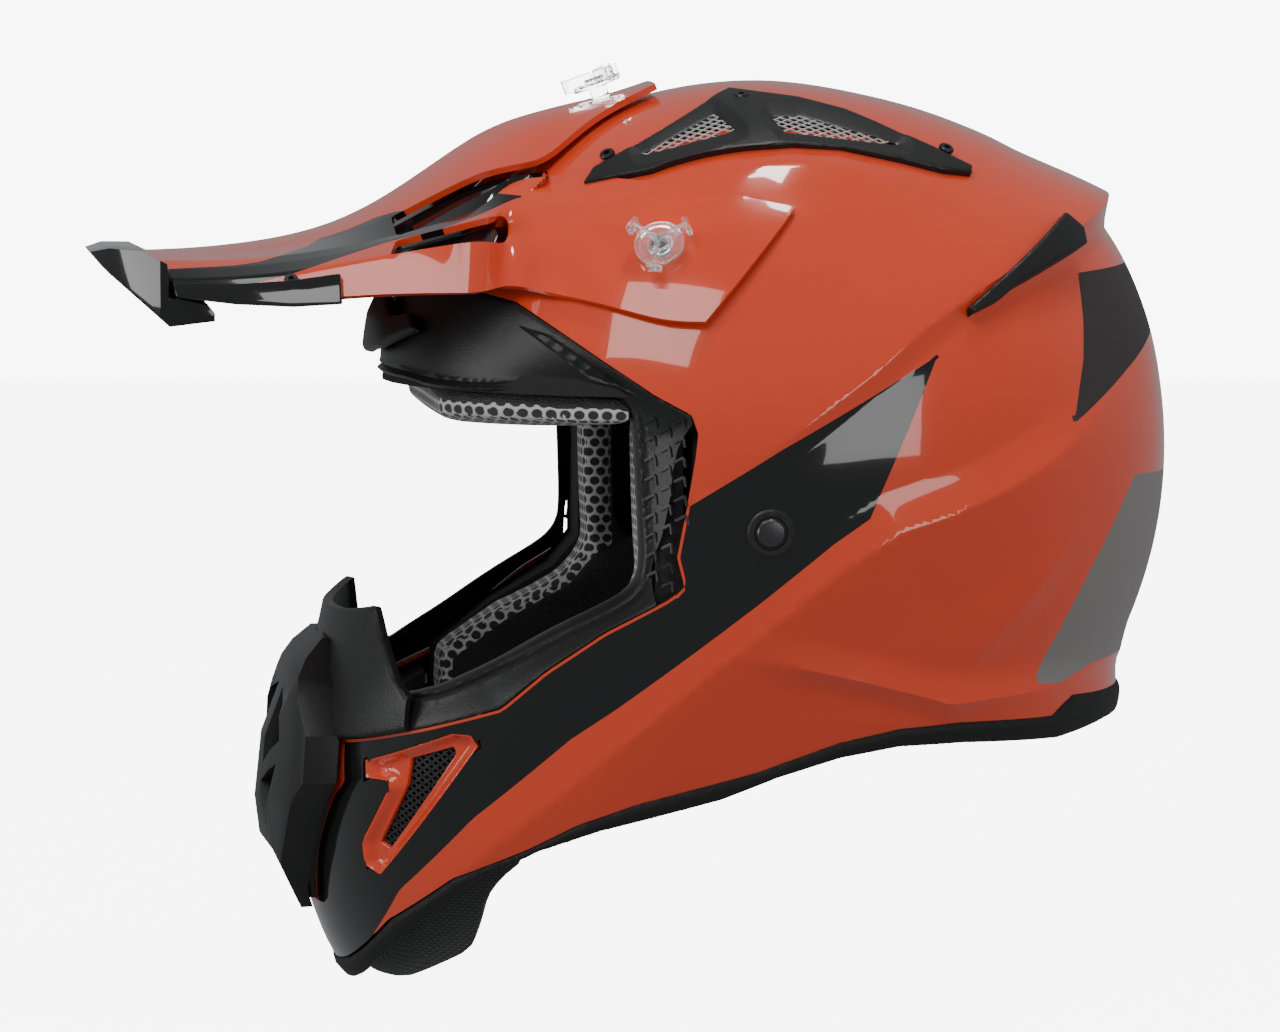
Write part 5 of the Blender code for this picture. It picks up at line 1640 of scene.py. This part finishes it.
def trim_mesh(mesh, point, normal):
    """Cuts a closed mesh with a plane (mm), keeps the side the normal points to and closes it."""
    bm = bmesh.new()
    bm.from_mesh(mesh)
    bmesh.ops.remove_doubles(bm, verts=bm.verts, dist=0.00001)
    cut_made = bmesh.ops.bisect_plane(bm, geom=bm.verts[:] + bm.edges[:] + bm.faces[:],
                                      plane_co=Vector(point) * MM, plane_no=normal, clear_inner=True)
    edges = [g for g in cut_made["geom_cut"] if isinstance(g, bmesh.types.BMEdge)]
    bmesh.ops.holes_fill(bm, edges=edges)
    bm.to_mesh(mesh)
    bm.free()


def swell(obj, pressure):
    """Blows the cover up as cloth under pressure."""
    cloth = obj.modifiers.new("cloth", "CLOTH")
    settings = cloth.settings
    settings.use_pressure = True
    settings.uniform_pressure_force = pressure
    settings.effector_weights.gravity = 0.0
    settings.tension_stiffness = settings.compression_stiffness = 12
    cloth.point_cache.frame_start, cloth.point_cache.frame_end = 1, SWELL_FRAMES
    for step in range(1, SWELL_FRAMES + 1):
        bpy.context.scene.frame_set(step)
    applied(obj)
    bpy.context.scene.frame_set(1)


CHEEK_FIELD = outline_field(CHEEK)
STRIP_WIDTH = 6.0
STRIP_REAR = -43                # the mesh strip ends here
BROW_PLANES = [((0, -117, 0), (0, 1, 0)), ((0, 0, -1.5), (0, 0, 1))]   # trim the pad behind the brow
CURTAIN_SPAN = (np.linspace(214, 246, 90), np.linspace(0.7, math.pi / 2, 90))
CURTAIN_WALL = 2.0


def cheek_strip(co, normal):
    """The pad's front edge and a strip beside it are spacer mesh, the rest brushed cloth."""
    return np.minimum(STRIP_WIDTH - CHEEK_FIELD(co), STRIP_REAR - co[:, 1])


def make_linings():
    """Comfort pads, the foam behind them and the chin curtain."""
    for name in ("left", "right"):
        cushion(f"cheek_pad_{name}", f"Cheek_pad_{name}", BRUSHED, cheek_strip, voxel=CHEEK_VOXEL)
    cushion("brow_pad", "Brow_pad", BRUSHED, lambda co, normal: 0.3 - normal[:, 2],
            pressure=BROW_PRESSURE, voxel=BROW_VOXEL, planes=BROW_PLANES)
    cushion("crown_pad", "Crown_pad", PLUSH, lambda co, normal: co[:, 2] - 42)
    cushion("neck_roll", "Neck_roll", BRUSHED, lambda co, normal: -np.ones(len(co)))
    for node, title in (("impact_liner", "Impact_liner"), ("chin_bar_foam", "Chin_foam"),
                        ("cheek_foam_left", "Cheek_foam_left"), ("cheek_foam_right", "Cheek_foam_right")):
        foam = cad_copy(node, title, EPS, bevel=0.6)
        piece(foam, "helmet", node, slot="impact_foam")
    curtain = skin_plate("Chin_curtain", rounded(CHIN_CURTAIN, 1), TRIM_PROUD - TRIM_WALL - 0.5,
                         CURTAIN_WALL, [CURTAIN], soft=0.9, span=CURTAIN_SPAN)
    piece(curtain, "helmet", "chin_curtain", slot="curtain_fabric")
    steps = np.linspace(0, 1, 40)
    line = np.array([side_point(-93 - 53 * t, -141 - 51 * t)[0] for t in steps])


# ---- Straps ----
def make_straps():
    """The chin strap, its rings, and the plates and pins that hold it."""
    for node, title in (("strap_short", "Strap_short"), ("strap_long", "Strap_long")):
        strap = cad_copy(node, title, WEBBING, bevel=0.5, segments=3)
        piece(strap, "chin_strap", node, slot="webbing")
    for index in (1, 2):
        ring = cad_copy(f"d_ring_{index}", f"D_ring_{index}", STEEL, bevel=0, subdivide=2)
        piece(ring, f"buckle_ring_{index}", f"d_ring_{index}", slot="plated_steel")
    for name in ("left", "right"):
        for node, title in (("strap_plate", "Strap_plate"), ("strap_pin", "Strap_pin")):
            metal = cad_copy(f"{node}_{name}", f"{title}_{name}", STEEL, bevel=0.3)
            piece(metal, "helmet", f"{node}_{name}", slot="plated_steel")


# ---- Floor, light, camera ----
STAGE_SIZE = 4.0
FLOOR_GAP = 0.0005              # metres under the lowest point
WALL_PLACE, WALL_TURN = (-3.2, 0.4, 1.0), (0, math.pi / 2, math.radians(-8))
WORLD_COLOR, WORLD_STRENGTH = (0.96, 0.98, 1.0, 1.0), 0.3
LAMPS = [("Key", (1.3, -0.9, 1.5), 1.0, 17), ("Side", (2.0, 1.05, 0.42), 0.9, 10),     # size, watts
         ("Top", (0.1, 0.2, 2.0), 0.35, 13), ("Front", (0.2, -2.0, 0.2), 0.8, 10),
         ("Rear", (-0.3, 2.0, 0.4), 0.9, 8)]
LAMP_TARGET = Vector((0, -0.02, -0.04))
CAMERA_AZIMUTH, CAMERA_ELEVATION = math.radians(82), math.radians(5)
CAMERA_TARGET, CAMERA_DISTANCE = Vector((0, -0.041, -0.040)), 1.9
LENS, SENSOR = 155, 36


def stage_plane(name, place, turn, shade, roughness, drift, grain, glow):
    """A white glowing plane that only the camera sees."""
    paint_made = Paint(f"Studio {name.lower()}", (shade, shade, shade), roughness)
    paint_made.set("Emission Color", (1.0, 1.0, 1.0, 1.0))
    paint_made.set("Emission Strength", glow)
    wear = paint_made.group(WEAR, Roughness=roughness, Drift=drift, Grain_Scale=grain)
    paint_made.join(wear.outputs["Roughness"], paint_made.shader.inputs["Roughness"])
    bm = bmesh.new()
    bmesh.ops.create_grid(bm, x_segments=2, y_segments=2, size=STAGE_SIZE)
    mesh = bpy.data.meshes.new(name)
    bm.to_mesh(mesh)
    bm.free()
    mesh.materials.append(paint_made.material)
    plane = linked(name, mesh)
    plane.location = place
    plane.rotation_euler = turn
    plane.visible_glossy = False
    plane.visible_diffuse = False
    return plane


def make_studio():
    """Floor, backdrop, lamps and camera."""
    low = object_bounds()[0][2]
    floor = stage_plane("Floor", (0, 0, low - FLOOR_GAP), (0, 0, 0), 0.86, 0.6, 0.1, 200.0, 7.0)
    wall = stage_plane("Backdrop", WALL_PLACE, WALL_TURN, 0.9, 0.9, 0.05, 100.0, 8.0)
    world = bpy.data.worlds.new("Studio")
    bpy.context.scene.world = world
    world.use_nodes = True
    background = world.node_tree.nodes["Background"]
    background.inputs["Color"].default_value = WORLD_COLOR
    background.inputs["Strength"].default_value = WORLD_STRENGTH
    for title, place, size, power in LAMPS:
        lamp = bpy.data.lights.new(title, "AREA")
        lamp.size, lamp.energy = size, power
        obj = linked(title, lamp)
        obj.location = place
        obj.rotation_euler = (Vector(place) - LAMP_TARGET).to_track_quat("Z", "Y").to_euler()
        obj.visible_glossy = title != "Rear"
    level = math.cos(CAMERA_ELEVATION)
    back = Vector((math.sin(CAMERA_AZIMUTH) * level, -math.cos(CAMERA_AZIMUTH) * level,
                   math.sin(CAMERA_ELEVATION)))
    camera_data = bpy.data.cameras.new("Camera")
    camera_data.lens, camera_data.sensor_width = LENS, SENSOR
    camera = linked("Camera", camera_data)
    camera.location = CAMERA_TARGET + back * CAMERA_DISTANCE
    camera.rotation_euler = back.to_track_quat("Z", "Y").to_euler()
    bpy.context.scene.camera = camera


make_shell()
make_eyeport()
make_plates()
make_peak()
make_peak_inserts()
make_peak_shade_sheets()
make_knobs()
make_rivets()
make_mouth()
make_linings()
make_straps()
make_studio()
